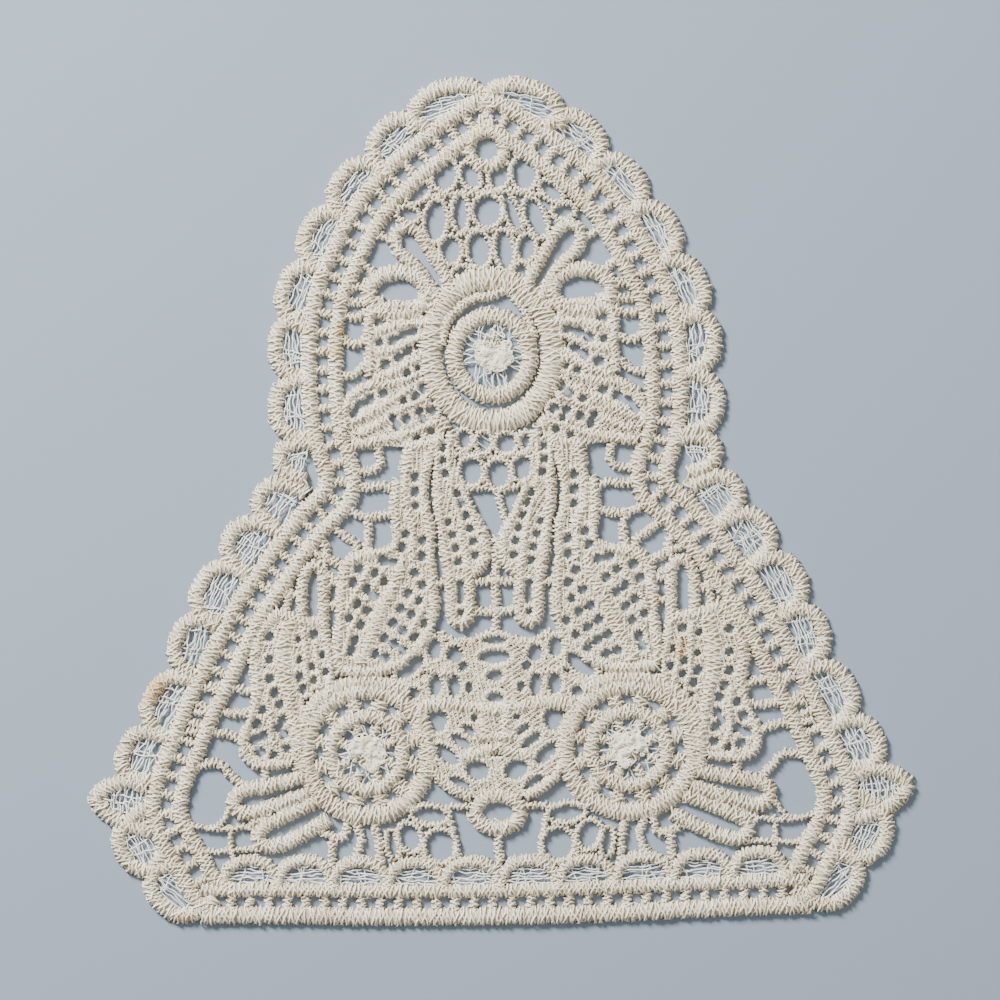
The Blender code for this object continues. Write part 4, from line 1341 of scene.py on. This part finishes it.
@dataclass
class Wing(Leaf):
    """Two petals of openwork beside the flower."""

    node: str = "wing"
    twin: bool = True
    ribs: tuple[tuple[float, Route], ...] = (
        (2.2, ((-10.8, 38.6), (-16.8, 38.9), (-22.0, 38.4), (-24.5, 36.0), (-24.3, 31.0), (-24.6, 25.0))),
        (2.4, ((-12.6, 35.2), (-18.0, 35.0), (-23.5, 33.4))),
        (2.0, ((-13.6, 32.6), (-16.2, 31.6), (-19.0, 30.2), (-23.4, 29.4))),
        (2.8, ((-14.0, 28.3), (-16.5, 27.3), (-19.5, 25.6), (-24.0, 24.0))),
        (2.3, ((-15.0, 24.9), (-20.0, 23.3), (-25.0, 22.9), (-28.6, 20.6), (-30.0, 17.4), (-29.6, 14.4))),
        (2.9, ((-16.5, 22.2), (-20.0, 20.0), (-24.0, 18.0), (-28.4, 15.6))),
        (2.2, ((-13.0, 20.4), (-16.2, 18.9), (-19.0, 17.8), (-22.4, 15.5), (-27.4, 13.2))),
        (2.4, ((-11.0, 15.5), (-14.8, 14.1), (-18.0, 12.9), (-22.0, 12.1), (-28.6, 11.2))),
        (2.2, ((-10.0, 12.6), (-13.5, 11.0), (-18.0, 10.8))),
        (3.0, ((-14.4, 25.0), (-13.0, 19.0), (-9.4, 14.0))),
    )
    routes: tuple[Route, ...] = (
        ((-24.6, 33.0), (-27.4, 31.2), (-30.4, 32.8)),
        ((-25.0, 27.8), (-28.0, 25.2), (-30.6, 25.2)),
        ((-24.0, 12.6), (-22.9, 7.4), (-25.8, 5.8), (-29.0, 6.6)),
    )
    outline: Route = (
        (-11.0, 38.5), (-23.0, 38.2), (-24.3, 34.0), (-24.3, 25.0), (-25.0, 23.0), (-29.0, 20.0),
        (-30.0, 16.0), (-28.5, 11.4), (-22.0, 11.0), (-17.0, 10.5), (-10.5, 11.5), (-9.4, 14.4),
        (-12.0, 19.0), (-14.0, 25.0), (-14.2, 33.0), (-12.0, 37.0),
    )
    angle: float = 62.0
    eyelets: tuple[Eyelet, ...] = (
        (-22.3, 36.0, 1.1), (-16.6, 37.1, 0.9), (-12.6, 37.1, 0.7), (-15.4, 33.7, 0.8), (-17.6, 33.1, 0.8),
        (-19.7, 31.9, 0.9), (-14.5, 30.8, 0.8), (-16.8, 29.8, 0.8), (-18.6, 28.5, 0.8), (-21.3, 27.1, 0.9),
        (-22.4, 31.6, 0.7), (-14.7, 26.4, 0.6), (-17.0, 25.4, 0.7), (-13.7, 22.4, 0.9), (-22.0, 21.4, 0.8),
        (-24.7, 20.2, 0.9), (-15.4, 20.7, 0.8), (-17.9, 19.8, 0.7), (-26.8, 19.2, 0.8), (-28.2, 17.5, 0.8),
        (-14.7, 17.6, 0.7), (-17.4, 16.2, 0.8), (-20.1, 16.5, 0.6), (-12.2, 17.8, 0.8), (-13.9, 16.0, 0.6),
        (-19.4, 14.6, 0.7), (-12.5, 13.7, 0.7), (-15.4, 12.5, 0.6),
    )


@dataclass
class NeckNet(Net):
    """The net of bars between the flower and the finger leaves."""

    node: str = "neck_net"
    twin: bool = False
    holes: tuple[Opening, ...] = (
        (-5.8, 11.9, 1.3, 1.8, 0.0), (-1.9, 11.3, 1.3, 1.9, 0.0), (2.5, 11.0, 1.9, 1.9, 0.0),
        (6.4, 11.4, 0.9, 1.5, 0.0), (-4.5, 5.5, 2.2, 2.6, 8.0), (0.9, 4.9, 2.2, 2.6, 0.0),
        (5.7, 6.1, 1.8, 2.4, -8.0),
    )
    routes: tuple[Route, ...] = (
        ((-7.6, 9.2), (-3.6, 8.8), (0.6, 8.3), (4.0, 8.8), (7.6, 9.4)),
        ((0.9, 1.9), (1.2, -0.8), (2.0, -3.6)),
        ((-6.4, 2.2), (-3.6, 2.1), (-1.6, 2.3), (0.9, 1.5), (3.4, 2.2), (6.0, 3.0)),
    )

    def loose(self) -> list[Route]:
        """Gives the stray threads under the flower."""
        return [
            ((-3.4, 15.0), (-2.4, 12.6), (-0.6, 11.6), (0.2, 13.4), (-0.8, 15.2)),
            ((-4.0, 12.0), (-2.0, 10.6), (-0.2, 9.6)),
        ]


@dataclass
class Fingers(Motif):
    """The two long finger leaves, joined on the axis by their lobes and bars."""

    node: str = "finger_leaves"
    twin: bool = False
    leg: Route = (
        (-11.4, 12.6), (-11.3, 4.0), (-10.9, -3.0), (-9.9, -10.0), (-8.9, -16.0), (-8.7, -22.0),
        (-8.3, -24.0), (-6.8, -24.9), (-5.3, -24.0), (-4.9, -22.0), (-5.0, -16.0), (-5.8, -10.0),
        (-6.9, -4.0), (-8.3, 2.0), (-9.0, 8.0), (-8.4, 13.6),
    )
    lobe: Route = ((-6.6, 3.0), (-4.0, -3.2), (-1.9, -8.0), (-2.0, -12.2), (-4.4, -15.0))
    routes: tuple[Route, ...] = (
        ((0.3, -8.4), (0.2, -26.6)),
        ((-4.6, -16.4), (-2.0, -16.6), (0.4, -16.2)),
        ((-4.6, -21.8), (-2.0, -22.6), (0.4, -22.2)),
    )
    outline: Route = (
        (-11.3, 12.0), (-11.7, 2.0), (-10.6, -8.0), (-9.4, -14.0), (-9.0, -22.0), (-6.8, -24.2),
        (-4.6, -22.0), (-4.4, -15.5), (-1.8, -13.0), (-1.4, -8.0), (-3.9, -2.0), (-7.0, 4.0), (-8.2, 12.0),
    )
    eyelets: tuple[Eyelet, ...] = (
        (-10.1, 10.4, 0.7), (-10.1, 7.7, 0.7), (-9.7, 5.2, 0.7), (-7.4, 1.2, 0.7), (-6.5, -0.9, 0.7),
        (-5.6, -3.3, 0.7), (-4.9, -5.9, 0.7), (-9.2, -4.6, 0.6), (-8.5, -7.2, 0.7), (-7.8, -9.8, 0.7),
        (-7.2, -12.4, 0.7), (-4.3, -8.5, 0.7), (-3.9, -11.3, 0.7), (-6.8, -17.0, 0.7), (-6.8, -18.6, 0.7),
        (-6.8, -20.2, 0.7), (-6.8, -22.6, 0.6),
    )

    def cords(self) -> list[Cord]:
        """Gives the legs, the lobes and the bars on both sides."""
        legs = [Cord(self.leg, 2.8), Cord(self.lobe, 2.8)]
        return both(legs + bars(self.routes) + eyelet_rings(self.eyelets))

    def grounds(self) -> list[Ground]:
        """Gives the grounds of both leaves."""
        return both_grounds([Ground(self.outline, 12.0)])

    def openings(self) -> list[Opening]:
        """Gives the eyelets on both sides."""
        return both_openings(rounds(self.eyelets))


@dataclass
class Frond(Leaf):
    """Two tapering leaves of openwork that sweep down from the neck."""

    node: str = "frond"
    twin: bool = True
    ribs: tuple[tuple[float, Route], ...] = (
        (2.4, ((-12.2, 11.0), (-14.0, 4.0), (-13.9, -2.0), (-12.8, -6.0), (-12.9, -12.0), (-12.2, -20.0))),
        (2.6, ((-12.2, -19.0), (-12.7, -25.0), (-15.0, -29.0), (-18.6, -32.4))),
        (3.2, ((-16.4, 10.8), (-17.9, 4.0), (-17.9, -1.0), (-16.4, -5.0), (-16.4, -12.0))),
        (2.4, ((-19.4, 4.0), (-20.0, -1.0), (-19.6, -6.0), (-20.6, -9.8), (-26.0, -10.6))),
        (4.2, ((-18.2, -11.5), (-19.6, -16.0), (-22.3, -21.0), (-24.6, -26.5), (-27.3, -32.6))),
        (
            2.6,
            (
                (-24.0, -10.6), (-29.3, -12.0), (-30.9, -17.0), (-31.3, -24.0), (-32.0, -30.0),
                (-31.6, -33.6),
            ),
        ),
        (1.9, ((-25.0, -12.5), (-26.6, -16.0), (-28.5, -19.0), (-30.4, -22.4))),
        (
            1.9,
            (
                (-22.4, -13.8), (-24.1, -16.8), (-26.0, -19.8), (-27.8, -22.8), (-29.3, -26.2),
                (-30.6, -30.6),
            ),
        ),
        (1.8, ((-16.3, -19.0), (-18.0, -23.4), (-19.8, -26.6), (-21.5, -29.8), (-23.6, -33.2))),
        (1.7, ((-14.3, -21.6), (-16.2, -25.0), (-18.0, -28.0), (-20.0, -31.2))),
        (2.6, ((-17.6, -31.6), (-22.4, -33.8), (-27.4, -34.2), (-31.8, -33.6))),
    )
    routes: tuple[Route, ...] = (
        ((-19.6, 1.6), (-22.4, 3.0), (-25.6, 2.6), (-28.6, 3.6)),
        ((-19.8, -2.4), (-24.0, -3.2), (-27.2, -3.0), (-30.2, -0.8)),
        ((-25.8, -3.2), (-25.4, -6.2), (-26.0, -10.4)),
        ((-33.2, -4.4), (-30.6, -6.8), (-28.2, -8.4), (-27.4, -11.0)),
        ((-12.8, -16.8), (-10.4, -16.6)),
        ((-36.4, -10.2), (-33.6, -11.4), (-30.4, -13.2)),
        ((-35.4, -14.0), (-33.2, -15.0), (-31.0, -16.4)),
        ((-12.4, 10.8), (-16.8, 11.0)),
    )
    outline: Route = (
        (-12.4, 11.0), (-17.0, 11.0), (-19.0, 2.0), (-20.0, -8.0), (-26.0, -10.4), (-30.0, -12.5),
        (-31.3, -20.0), (-32.0, -33.0), (-27.0, -34.2), (-22.0, -34.0), (-17.0, -31.6), (-12.8, -27.0),
        (-12.0, -19.0), (-12.6, -8.0), (-13.8, 0.0), (-13.0, 6.0),
    )
    angle: float = 22.0
    eyelets: tuple[Eyelet, ...] = (
        (-15.9, 4.6, 0.8), (-15.9, 1.6, 0.9), (-15.8, -1.2, 0.7), (-14.5, -8.2, 0.8), (-14.6, -11.2, 0.8),
        (-17.9, -6.8, 0.8), (-18.7, -9.4, 0.8), (-16.1, -14.6, 0.8), (-27.4, -13.6, 0.9),
        (-28.6, -16.3, 0.9), (-22.6, -11.9, 0.9), (-24.2, -14.5, 0.8), (-25.9, -17.6, 0.8),
        (-27.8, -20.6, 0.8), (-29.5, -23.4, 0.8), (-20.5, -12.4, 0.8), (-22.1, -16.1, 0.8),
        (-24.1, -19.1, 0.8), (-25.8, -22.0, 0.8), (-27.1, -24.8, 0.8), (-28.4, -27.7, 0.8),
        (-29.2, -30.0, 0.8), (-17.4, -18.6, 0.8), (-18.9, -21.7, 0.8), (-20.6, -24.5, 0.8),
        (-22.4, -27.5, 0.8), (-24.2, -30.7, 0.8), (-14.6, -17.0, 0.8), (-15.3, -20.2, 0.7),
        (-16.7, -22.9, 0.8), (-18.5, -26.0, 0.8), (-20.3, -28.6, 0.8), (-22.0, -31.4, 0.8),
        (-14.2, -24.6, 0.8), (-16.2, -27.4, 0.8), (-18.4, -30.2, 0.8),
    )


@dataclass
class SideLeaf(Leaf):
    """The leaf between the fronds and the ladder, with the hairpin above it."""

    node: str = "side_leaf"
    twin: bool = True
    ribs: tuple[tuple[float, Route], ...] = (
        (
            3.0,
            (
                (-43.6, -21.8), (-47.2, -25.4), (-48.8, -31.0), (-48.2, -37.0), (-49.4, -42.0),
                (-51.2, -46.6),
            ),
        ),
        (2.0, ((-51.0, -45.6), (-51.4, -49.4), (-49.6, -52.0), (-45.6, -52.4), (-41.6, -51.8))),
        (4.6, ((-41.6, -23.6), (-42.9, -29.0), (-42.7, -35.0), (-41.4, -41.0), (-40.0, -48.6))),
        (1.9, ((-38.9, -25.0), (-38.4, -29.6), (-38.3, -34.8), (-37.2, -40.4))),
        (1.7, ((-36.4, -28.0), (-36.0, -32.6), (-35.2, -37.0))),
        (2.2, ((-34.8, -24.6), (-33.9, -29.0), (-33.2, -34.0), (-34.2, -39.4))),
        (2.6, ((-44.0, -22.2), (-40.0, -23.6), (-35.0, -24.4))),
        (1.9, ((-46.6, -38.6), (-45.6, -42.4), (-46.0, -46.0), (-44.6, -49.6))),
    )
    hair_loop: Route = (
        (-39.2, -24.0), (-39.2, -17.0), (-38.4, -13.8), (-36.6, -12.6), (-34.8, -14.4), (-34.8, -25.0)
    )
    routes: tuple[Route, ...] = (
        ((-57.6, -36.4), (-52.6, -37.0), (-48.6, -38.0)),
        ((-60.4, -41.6), (-55.4, -41.6), (-51.8, -42.1), (-48.4, -41.4)),
        ((-62.0, -45.4), (-57.4, -45.8), (-54.8, -46.0), (-51.8, -47.4)),
        ((-47.4, -51.6), (-47.2, -54.8)),
        ((-35.6, -13.2), (-34.0, -10.6), (-35.4, -7.2)),
        ((-39.2, -18.4), (-42.0, -18.2), (-45.6, -16.8)),
        ((-34.8, -16.6), (-32.2, -16.2)),
        ((-34.9, -20.6), (-32.0, -20.8)),
        ((-42.6, -22.2), (-42.0, -18.2), (-42.2, -14.6)),
    )
    outline: Route = (
        (-43.6, -22.4), (-47.8, -26.0), (-49.4, -31.0), (-48.8, -38.0), (-50.4, -43.0), (-51.6, -48.0),
        (-50.4, -51.8), (-41.5, -51.6), (-39.0, -48.0), (-37.5, -42.0), (-33.8, -38.0), (-33.4, -30.0),
        (-34.8, -24.6), (-40.0, -23.4),
    )
    angle: float = 5.0
    eyelets: tuple[Eyelet, ...] = (
        (-46.0, -26.8, 0.8), (-45.9, -31.4, 0.7), (-45.9, -35.2, 0.8), (-44.9, -38.0, 0.8),
        (-43.9, -40.4, 0.8), (-43.3, -43.4, 0.8), (-43.0, -46.4, 0.8), (-42.6, -49.2, 0.8),
        (-40.0, -27.4, 0.6), (-39.8, -31.5, 0.6), (-39.8, -34.9, 0.8), (-39.0, -37.4, 0.8),
        (-38.0, -40.0, 0.8), (-37.2, -33.0, 0.7), (-36.8, -35.7, 0.7), (-36.0, -38.3, 0.7),
        (-36.8, -26.5, 0.8), (-35.0, -30.6, 0.6), (-34.4, -34.0, 0.7), (-47.4, -41.4, 0.8),
        (-48.6, -44.2, 0.9), (-47.2, -46.6, 0.8), (-49.3, -47.4, 0.9), (-48.0, -49.8, 0.9),
        (-45.4, -50.4, 0.7), (-44.4, -45.0, 0.7),
    )

    def cords(self) -> list[Cord]:
        """Gives the ribs, the hairpin and the bars."""
        found = cords_of(self.ribs) + [Cord(self.hair_loop, 2.6)] + bars(self.routes)
        return found + eyelet_rings(self.eyelets)


@dataclass
class Rose(Motif):
    """A round flower near the hem, with a petal above it and two long fingers beside it."""

    node: str = "rose"
    twin: bool = True
    x: float = -26.2
    y: float = -50.4
    petal: Route = (
        (-39.6, -54.4), (-40.2, -49.0), (-39.0, -44.0), (-35.2, -38.9), (-29.8, -36.6), (-23.8, -36.2),
        (-17.4, -38.4),
    )
    fingers: tuple[Route, ...] = (
        (
            (-38.4, -54.6), (-46.0, -56.5), (-51.8, -57.5), (-53.8, -59.9), (-51.6, -62.0), (-46.0, -60.8),
            (-38.0, -58.0),
        ),
        (
            (-36.6, -59.6), (-42.4, -62.2), (-47.4, -64.5), (-49.2, -66.8), (-47.0, -68.8), (-41.6, -67.3),
            (-34.2, -63.4),
        ),
    )
    routes: tuple[Route, ...] = (
        ((-63.6, -53.6), (-59.0, -52.0), (-56.4, -51.9), (-54.4, -54.0), (-51.4, -57.0)),
        ((-25.4, -63.4), (-24.4, -67.4), (-24.0, -72.4)),
        ((-29.8, -63.0), (-27.8, -67.4), (-29.6, -71.8)),
        ((-30.6, -62.6), (-31.0, -66.8), (-33.8, -67.0), (-36.8, -65.2)),
        ((-33.8, -67.0), (-34.0, -72.4)),
        ((-43.0, -61.1), (-44.4, -61.7)),
        ((-46.8, -62.5), (-50.2, -64.2)),
        ((-38.6, -59.0), (-40.6, -59.8)),
    )

    def cords(self) -> list[Cord]:
        """Gives the rings, the petal, the fingers and the bars.

        Returns:
            The cords of one rose.
        """
        rings = ((12.6, 4.0, CREST), (7.4, 3.2, CREST), (1.6, 3.2, KNOB_CREST))
        found = [Cord(ellipse(self.x, self.y, r, r), width, crest) for r, width, crest in rings]
        found.append(Cord(self.petal, 3.6))
        found += [Cord(route, 3.2) for route in self.fingers]
        found += rungs_round(self.x, self.y, 9.8, 2.4, 12, 3.1)
        found += rungs_round(self.x, self.y, 5.0, 2.2, 8, 2.1)
        return found + bars(self.routes)

    def loose(self) -> list[Route]:
        """Gives the loose spokes between the knob and the ring."""
        return spokes(self.x, self.y, 3.6, 6.8, 30, 9)

    def tangles(self) -> list[Route]:
        """Gives the looped thread of the knob."""
        return [scribble(self.x, self.y, 3.6, 110, 33)]


@dataclass
class CornerNet(Net):
    """The net of bars round the large oval opening of the lower corner."""

    node: str = "corner_net"
    twin: bool = True
    bar_width: float = 1.3
    routes: tuple[Route, ...] = (
        ((-66.0, -62.6), (-61.8, -64.2), (-58.0, -64.9), (-55.8, -63.4), (-54.6, -61.4)),
        ((-58.0, -64.9), (-54.2, -65.1), (-51.2, -64.6), (-49.2, -66.2)),
        ((-54.3, -65.0), (-54.4, -69.4), (-53.6, -72.0)),
        ((-62.4, -69.0), (-57.4, -69.6), (-54.4, -69.3), (-49.8, -69.2)),
    )


@dataclass
class Bow(Motif):
    """The bow between the roses, with the small ring under it."""

    node: str = "bow"
    twin: bool = False
    bands: tuple[tuple[float, Route], ...] = (
        (3.0, ((-1.9, -41.4), (-2.3, -44.4), (-1.9, -47.6))),
        (3.0, ((0.0, -42.2), (-5.0, -41.6), (-9.6, -40.8), (-15.4, -41.4))),
        (2.2, ((0.0, -47.4), (-3.4, -47.6))),
        (2.6, ((0.0, -49.6), (-4.0, -51.0), (-7.0, -51.6))),
        (2.2, ((-14.0, -51.6), (-12.2, -54.8), (-9.6, -57.4), (-5.4, -59.6))),
        (2.2, ((-15.0, -41.6), (-15.6, -45.0), (-14.2, -48.6))),
        (1.8, ((-14.8, -28.4), (-14.6, -32.0), (-12.4, -34.4), (-9.0, -34.8))),
    )
    outline: Route = (
        (0.0, -26.6), (-3.4, -27.0), (-6.0, -29.4), (-10.0, -28.6), (-12.0, -26.8), (-14.6, -28.4),
        (-15.4, -31.6), (-13.4, -34.6), (-20.4, -37.0), (-20.0, -41.4), (-15.0, -43.0), (-14.6, -48.0),
        (-13.4, -53.4), (-6.0, -59.6), (0.0, -59.4),
    )
    holes: tuple[Opening, ...] = (
        (0.0, -28.3, 2.65, 0.95, 0.0), (0.0, -31.6, 3.35, 1.45, 0.0), (0.0, -35.4, 1.75, 1.25, 0.0),
        (0.0, -39.8, 1.85, 1.15, 0.0), (-8.1, -30.9, 1.55, 1.65, 0.0), (-12.1, -29.8, 1.45, 2.15, 0.0),
        (-6.3, -33.4, 0.95, 0.95, 0.0), (-17.0, -33.4, 3.45, 1.55, 38.0), (-11.9, -37.1, 1.35, 2.25, 0.0),
        (-8.2, -37.3, 1.25, 2.45, 0.0), (-5.2, -37.6, 0.75, 1.05, 0.0), (-17.3, -38.6, 2.35, 1.25, 0.0),
        (-11.8, -44.0, 2.2, 2.5, 0.0), (-4.2, -43.7, 0.65, 0.75, 0.0), (-7.0, -48.4, 2.5, 1.05, -38.0),
        (-10.0, -51.0, 3.05, 1.35, -42.0), (-3.9, -54.2, 2.45, 1.95, -20.0),
        (-7.4, -56.8, 2.45, 1.05, -32.0), (0.0, -50.9, 1.55, 0.65, 0.0), (-5.4, -46.2, 1.7, 0.9, -38.0),
    )
    routes: tuple[Route, ...] = (
        ((0.0, -65.0), (0.0, -72.6)),
        ((0.0, -51.4), (0.0, -59.6)),
        ((-3.4, -34.0), (-3.4, -41.0)),
        ((-9.8, -33.4), (-14.8, -36.2), (-20.4, -36.6)),
        ((-4.6, -28.2), (-8.0, -28.6), (-10.4, -27.0)),
    )

    def cords(self) -> list[Cord]:
        """Gives the ring, the bands and the bars on both sides."""
        half = cords_of(self.bands) + overcast(self.holes, 1.4) + bars(self.routes)
        return [Cord(ellipse(0.0, -62.6, 4.6, 3.4), 3.3)] + both(half)

    def grounds(self) -> list[Ground]:
        """Gives the ground on both sides."""
        return both_grounds([Ground(self.outline, 35.0)])

    def openings(self) -> list[Opening]:
        """Gives the openings on both sides."""
        return both_openings(list(self.holes))


@dataclass
class HemNet(Net):
    """The net of bars between the bow's ring, a rose and the hem."""

    node: str = "hem_net"
    twin: bool = True
    holes: tuple[Opening, ...] = (
        (-13.6, -63.0, 3.5, 1.5, -6.0), (-11.8, -69.2, 2.9, 3.1, 0.0), (-17.9, -67.4, 2.0, 2.7, 20.0),
        (-21.4, -68.8, 0.9, 2.7, 8.0),
    )
    routes: tuple[Route, ...] = (
        ((-6.4, -61.4), (-9.6, -61.4), (-10.6, -62.0)),
        ((-9.4, -64.8), (-8.9, -67.6), (-8.2, -72.0)),
        ((-16.6, -61.4), (-18.6, -61.6)),
        ((-15.4, -70.4), (-15.2, -72.6)),
    )


class Lace:
    """The whole patch: its motifs, wound, darned and laid in cotton."""

    WIDTH = 0.165  # of its cut, in metres
    LENGTH = 0.1696
    CUT_AREA = 0.0172  # inside its outline, openings and all, in square metres
    DARNING = ((0.0, 0.46, 0.95), (68.0, 0.85, 1.25))  # turn in degrees, spacing and height in mm
    DARNING_STEP = 0.45  # spacing of a darned thread's points, in mm
    WINDOW_HEIGHT = 0.7  # of the threads in the windows, in mm
    KNOB_HEIGHT = 1.2  # of the looped threads, in mm
    CORE_STEP = 1.3  # spacing of the core's sections, in mm
    SLANT = 1.15  # how far turns lean, one after the other to either side

    def __init__(self, motifs: list[Motif]) -> None:
        self.motifs = motifs
        self.shop = Workshop()
        stains = (
            (-68.4, -36.6, 4.5, 0.7, "#c4994e"), (-70.6, -34.0, 2.6, 0.5, "#c8a058"),
            (-29.8, 34.7, 3.0, 0.65, "#cfae6c"), (-31.8, 30.4, 2.6, 0.6, "#d0b070"),
            (-64.0, -82.9, 2.8, 0.5, "#c2a066"), (-52.9, -64.5, 2.2, 0.55, "#cfae70"),
            (54.0, -58.4, 2.4, 0.5, "#c9a468"), (36.1, -30.0, 3.0, 0.65, "#c99a50"),
            (31.7, -20.4, 2.4, 0.5, "#cdb07a"), (41.8, 22.5, 2.2, 0.45, "#c9a670"),
            (14.7, 50.0, 2.2, 0.4, "#cdb27c"), (13.0, 75.0, 2.6, 0.4, "#cfb078"),
        )
        self.cotton = CottonThread("wound_cotton_thread", "#f8f0dc", "#dfd1b4", stains).material()
        # The core's cotton is coloured darker than the wound thread: painted shade for the gaps between the
        # turns, where the core shows through
        self.shadowed = CottonThread("cotton_core", "#cfc6b0", "#a39880", stains).material()
        self.fine = CottonThread("fine_cotton_thread", "#f4f4ee", "#dcded8", stains).material()
        self.pieces: list[bpy.types.Object] = []

    def finish(self, piece: bpy.types.Object) -> None:
        """Registers a finished piece.

        Args:
            piece: The piece.
        """
        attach(piece, "root")
        self.pieces.append(piece)
        count = sum(len(p.vertices) - 2 for p in piece.data.polygons)
        LOG.info("%s: %d triangles", piece.name, count)

    def wind(self, motif: Motif, node: str, side: int) -> None:
        """Winds the cords of one motif on one side.

        Args:
            motif: The motif.
            node: The CAD node that it stands for.
            side: 1 for left, -1 for right.
        """
        openings = motif.openings()
        cords = [(c, run, half) for c in motif.cords() for run, half in fitted(c, openings, POINT_STEP)]
        routes = [at_height(placed(run, side), 0.0) for _, run, _ in cords]
        values = {
            "half_width": [[h * MM for h in half] for _, _, half in cords],
            "crest": [[item.crest * MM] * len(run) for item, run, _ in cords],
            "knobs": [[item.winding.value] * len(run) for item, run, _ in cords],
        }
        mesh = self.shop.routes_mesh(node + "_routes", routes, values)
        sizes = {"Cotton": self.cotton, "Slant": self.SLANT * side}
        piece = self.shop.run(node + "_winding", mesh, self.shop.winding, sizes)
        self.finish(piece)

    def lay(self, name: str, routes: list[np.ndarray], sizes: dict) -> None:
        """Lays loose threads.

        Args:
            name: Name of the piece.
            routes: Their points, in metres.
            sizes: Sizes for the tree that lays them.
        """
        mesh = self.shop.routes_mesh(name + "_routes", routes, {})
        self.finish(self.shop.run(name, mesh, self.shop.laying, sizes))

    def core(self) -> bpy.types.Object:
        """Builds the soft core under all the windings.

        Returns:
            The core.
        """
        runs = []
        for motif in self.motifs:
            openings = motif.openings()
            for item in motif.cords():
                clear = fitted(item, openings, self.CORE_STEP)
                runs += [(run, half, item, side) for run, half in clear for _, side in motif.sides()]
        points, faces = core_mesh(runs, Workshop.WOUND_RADIUS)
        mesh = bpy.data.meshes.new("cotton_core")
        mesh.from_pydata([tuple(p) for p in points], [], faces)
        mesh.materials.append(self.shadowed)
        mesh.shade_smooth()
        piece = bpy.data.objects.new("cotton_core", mesh)
        bpy.context.scene.collection.objects.link(piece)
        nodes = [node for m in self.motifs for node, _ in m.sides()]
        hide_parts(*nodes)
        self.finish(piece)
        return piece

    def build(self) -> None:
        core = self.core()
        windows, darning, knobs = [], [], []
        for motif in self.motifs:
            for node, side in motif.sides():
                self.wind(motif, node, side)
            for ground in motif.grounds():
                for turn, spacing, height in self.DARNING:
                    turned = Ground(ground.outline, ground.angle + turn)
                    threads = darned(turned, motif.openings(), spacing, self.DARNING_STEP)
                    for _, side in motif.sides():
                        darning += [at_height(placed(t, side), height * MM) for t in threads]
            for _, side in motif.sides():
                windows += [
                    at_height(placed(list(t), side), self.WINDOW_HEIGHT * MM) for t in motif.loose()
                ]
                knobs += [at_height(placed(list(t), side), self.KNOB_HEIGHT * MM) for t in motif.tangles()]
        fine = {"Cotton": self.fine, "Thread Radius": 0.155 * MM, "Waviness": 1.5 * MM, "Wave Rate": 520.0}
        looped = {
            "Cotton": self.cotton, "Thread Radius": 0.19 * MM, "Waviness": 1.3 * MM, "Wave Rate": 620.0,
            "Segment": 0.4 * MM,
        }
        self.lay("looped_knobs", knobs, looped)
        self.lay("window_threads", windows, fine)
        firm = {"Cotton": self.cotton, "Thread Radius": 0.2 * MM, "Waviness": 0.7 * MM, "Wave Rate": 700.0}
        self.lay("darned_ground", darning, firm)


@dataclass
class Studio:
    """The floor, the lights and the camera, in metres and watts."""

    floor_size: float = 3.0
    camera_height: float = 0.5556
    view_middle: Point = (0.00065, 0.0002)
    roll: float = -1.0  # degrees, as the photograph is turned

    def build_floor(self) -> None:
        """Lays the floor."""
        half = self.floor_size / 2
        mesh = bpy.data.meshes.new("floor")
        corners = [(-half, -half, 0.0), (half, -half, 0.0), (half, half, 0.0), (-half, half, 0.0)]
        mesh.from_pydata(corners, [], [(0, 1, 2, 3)])
        mesh.materials.append(FloorPaint().material())
        floor = bpy.data.objects.new("floor", mesh)
        bpy.context.scene.collection.objects.link(floor)

    def build_light(self, name: str, place: tuple[float, float, float], size: float, power: float) -> None:
        """Hangs an area light that points at the origin.

        Args:
            name: Its name.
            place: Where it hangs.
            size: Side of its square.
            power: Its power.
        """
        data = bpy.data.lights.new(name, "AREA")
        data.size = size
        data.energy = power
        light = bpy.data.objects.new(name, data)
        light.location = place
        light.rotation_euler = (-Vector(place)).to_track_quat("-Z", "Y").to_euler()
        bpy.context.scene.collection.objects.link(light)

    def build_camera(self) -> None:
        """Sets up the camera, straight above the patch."""
        data = bpy.data.cameras.new("camera")
        data.lens = 100.0
        data.sensor_width = 36.0
        data.clip_start = 0.01
        camera = bpy.data.objects.new("camera", data)
        camera.location = (*self.view_middle, self.camera_height)
        camera.rotation_euler = (0.0, 0.0, math.radians(self.roll))
        bpy.context.scene.collection.objects.link(camera)
        bpy.context.scene.camera = camera

    def build(self) -> None:
        """Builds the studio."""
        self.build_floor()
        self.build_light("key", (-0.5, 0.6, 0.55), 0.25, 31.0)
        self.build_light("fill", (0.6, -0.3, 0.7), 0.9, 3.4)
        world = bpy.data.worlds.new("studio_air")
        world.use_nodes = True
        world.node_tree.nodes["Background"].inputs["Color"].default_value = (1.0, 1.0, 1.0, 1.0)
        world.node_tree.nodes["Background"].inputs["Strength"].default_value = 0.25
        bpy.context.scene.world = world
        self.build_camera()


def main() -> None:
    """Builds the patch and the studio."""
    logging.basicConfig(level=logging.INFO, format="%(name)s %(message)s")
    motifs = [
        TopRing(), Hem(), ScallopEdge(), LadderFrame(), Flower(), Rose(), Fingers(), EarLoops(), Wing(),
        Frond(), SideLeaf(), Bow(), TopNet(), NeckNet(), CornerNet(), HemNet(),
    ]
    Lace(motifs).build()
    Studio().build()


if __name__ == "__main__":
    main()
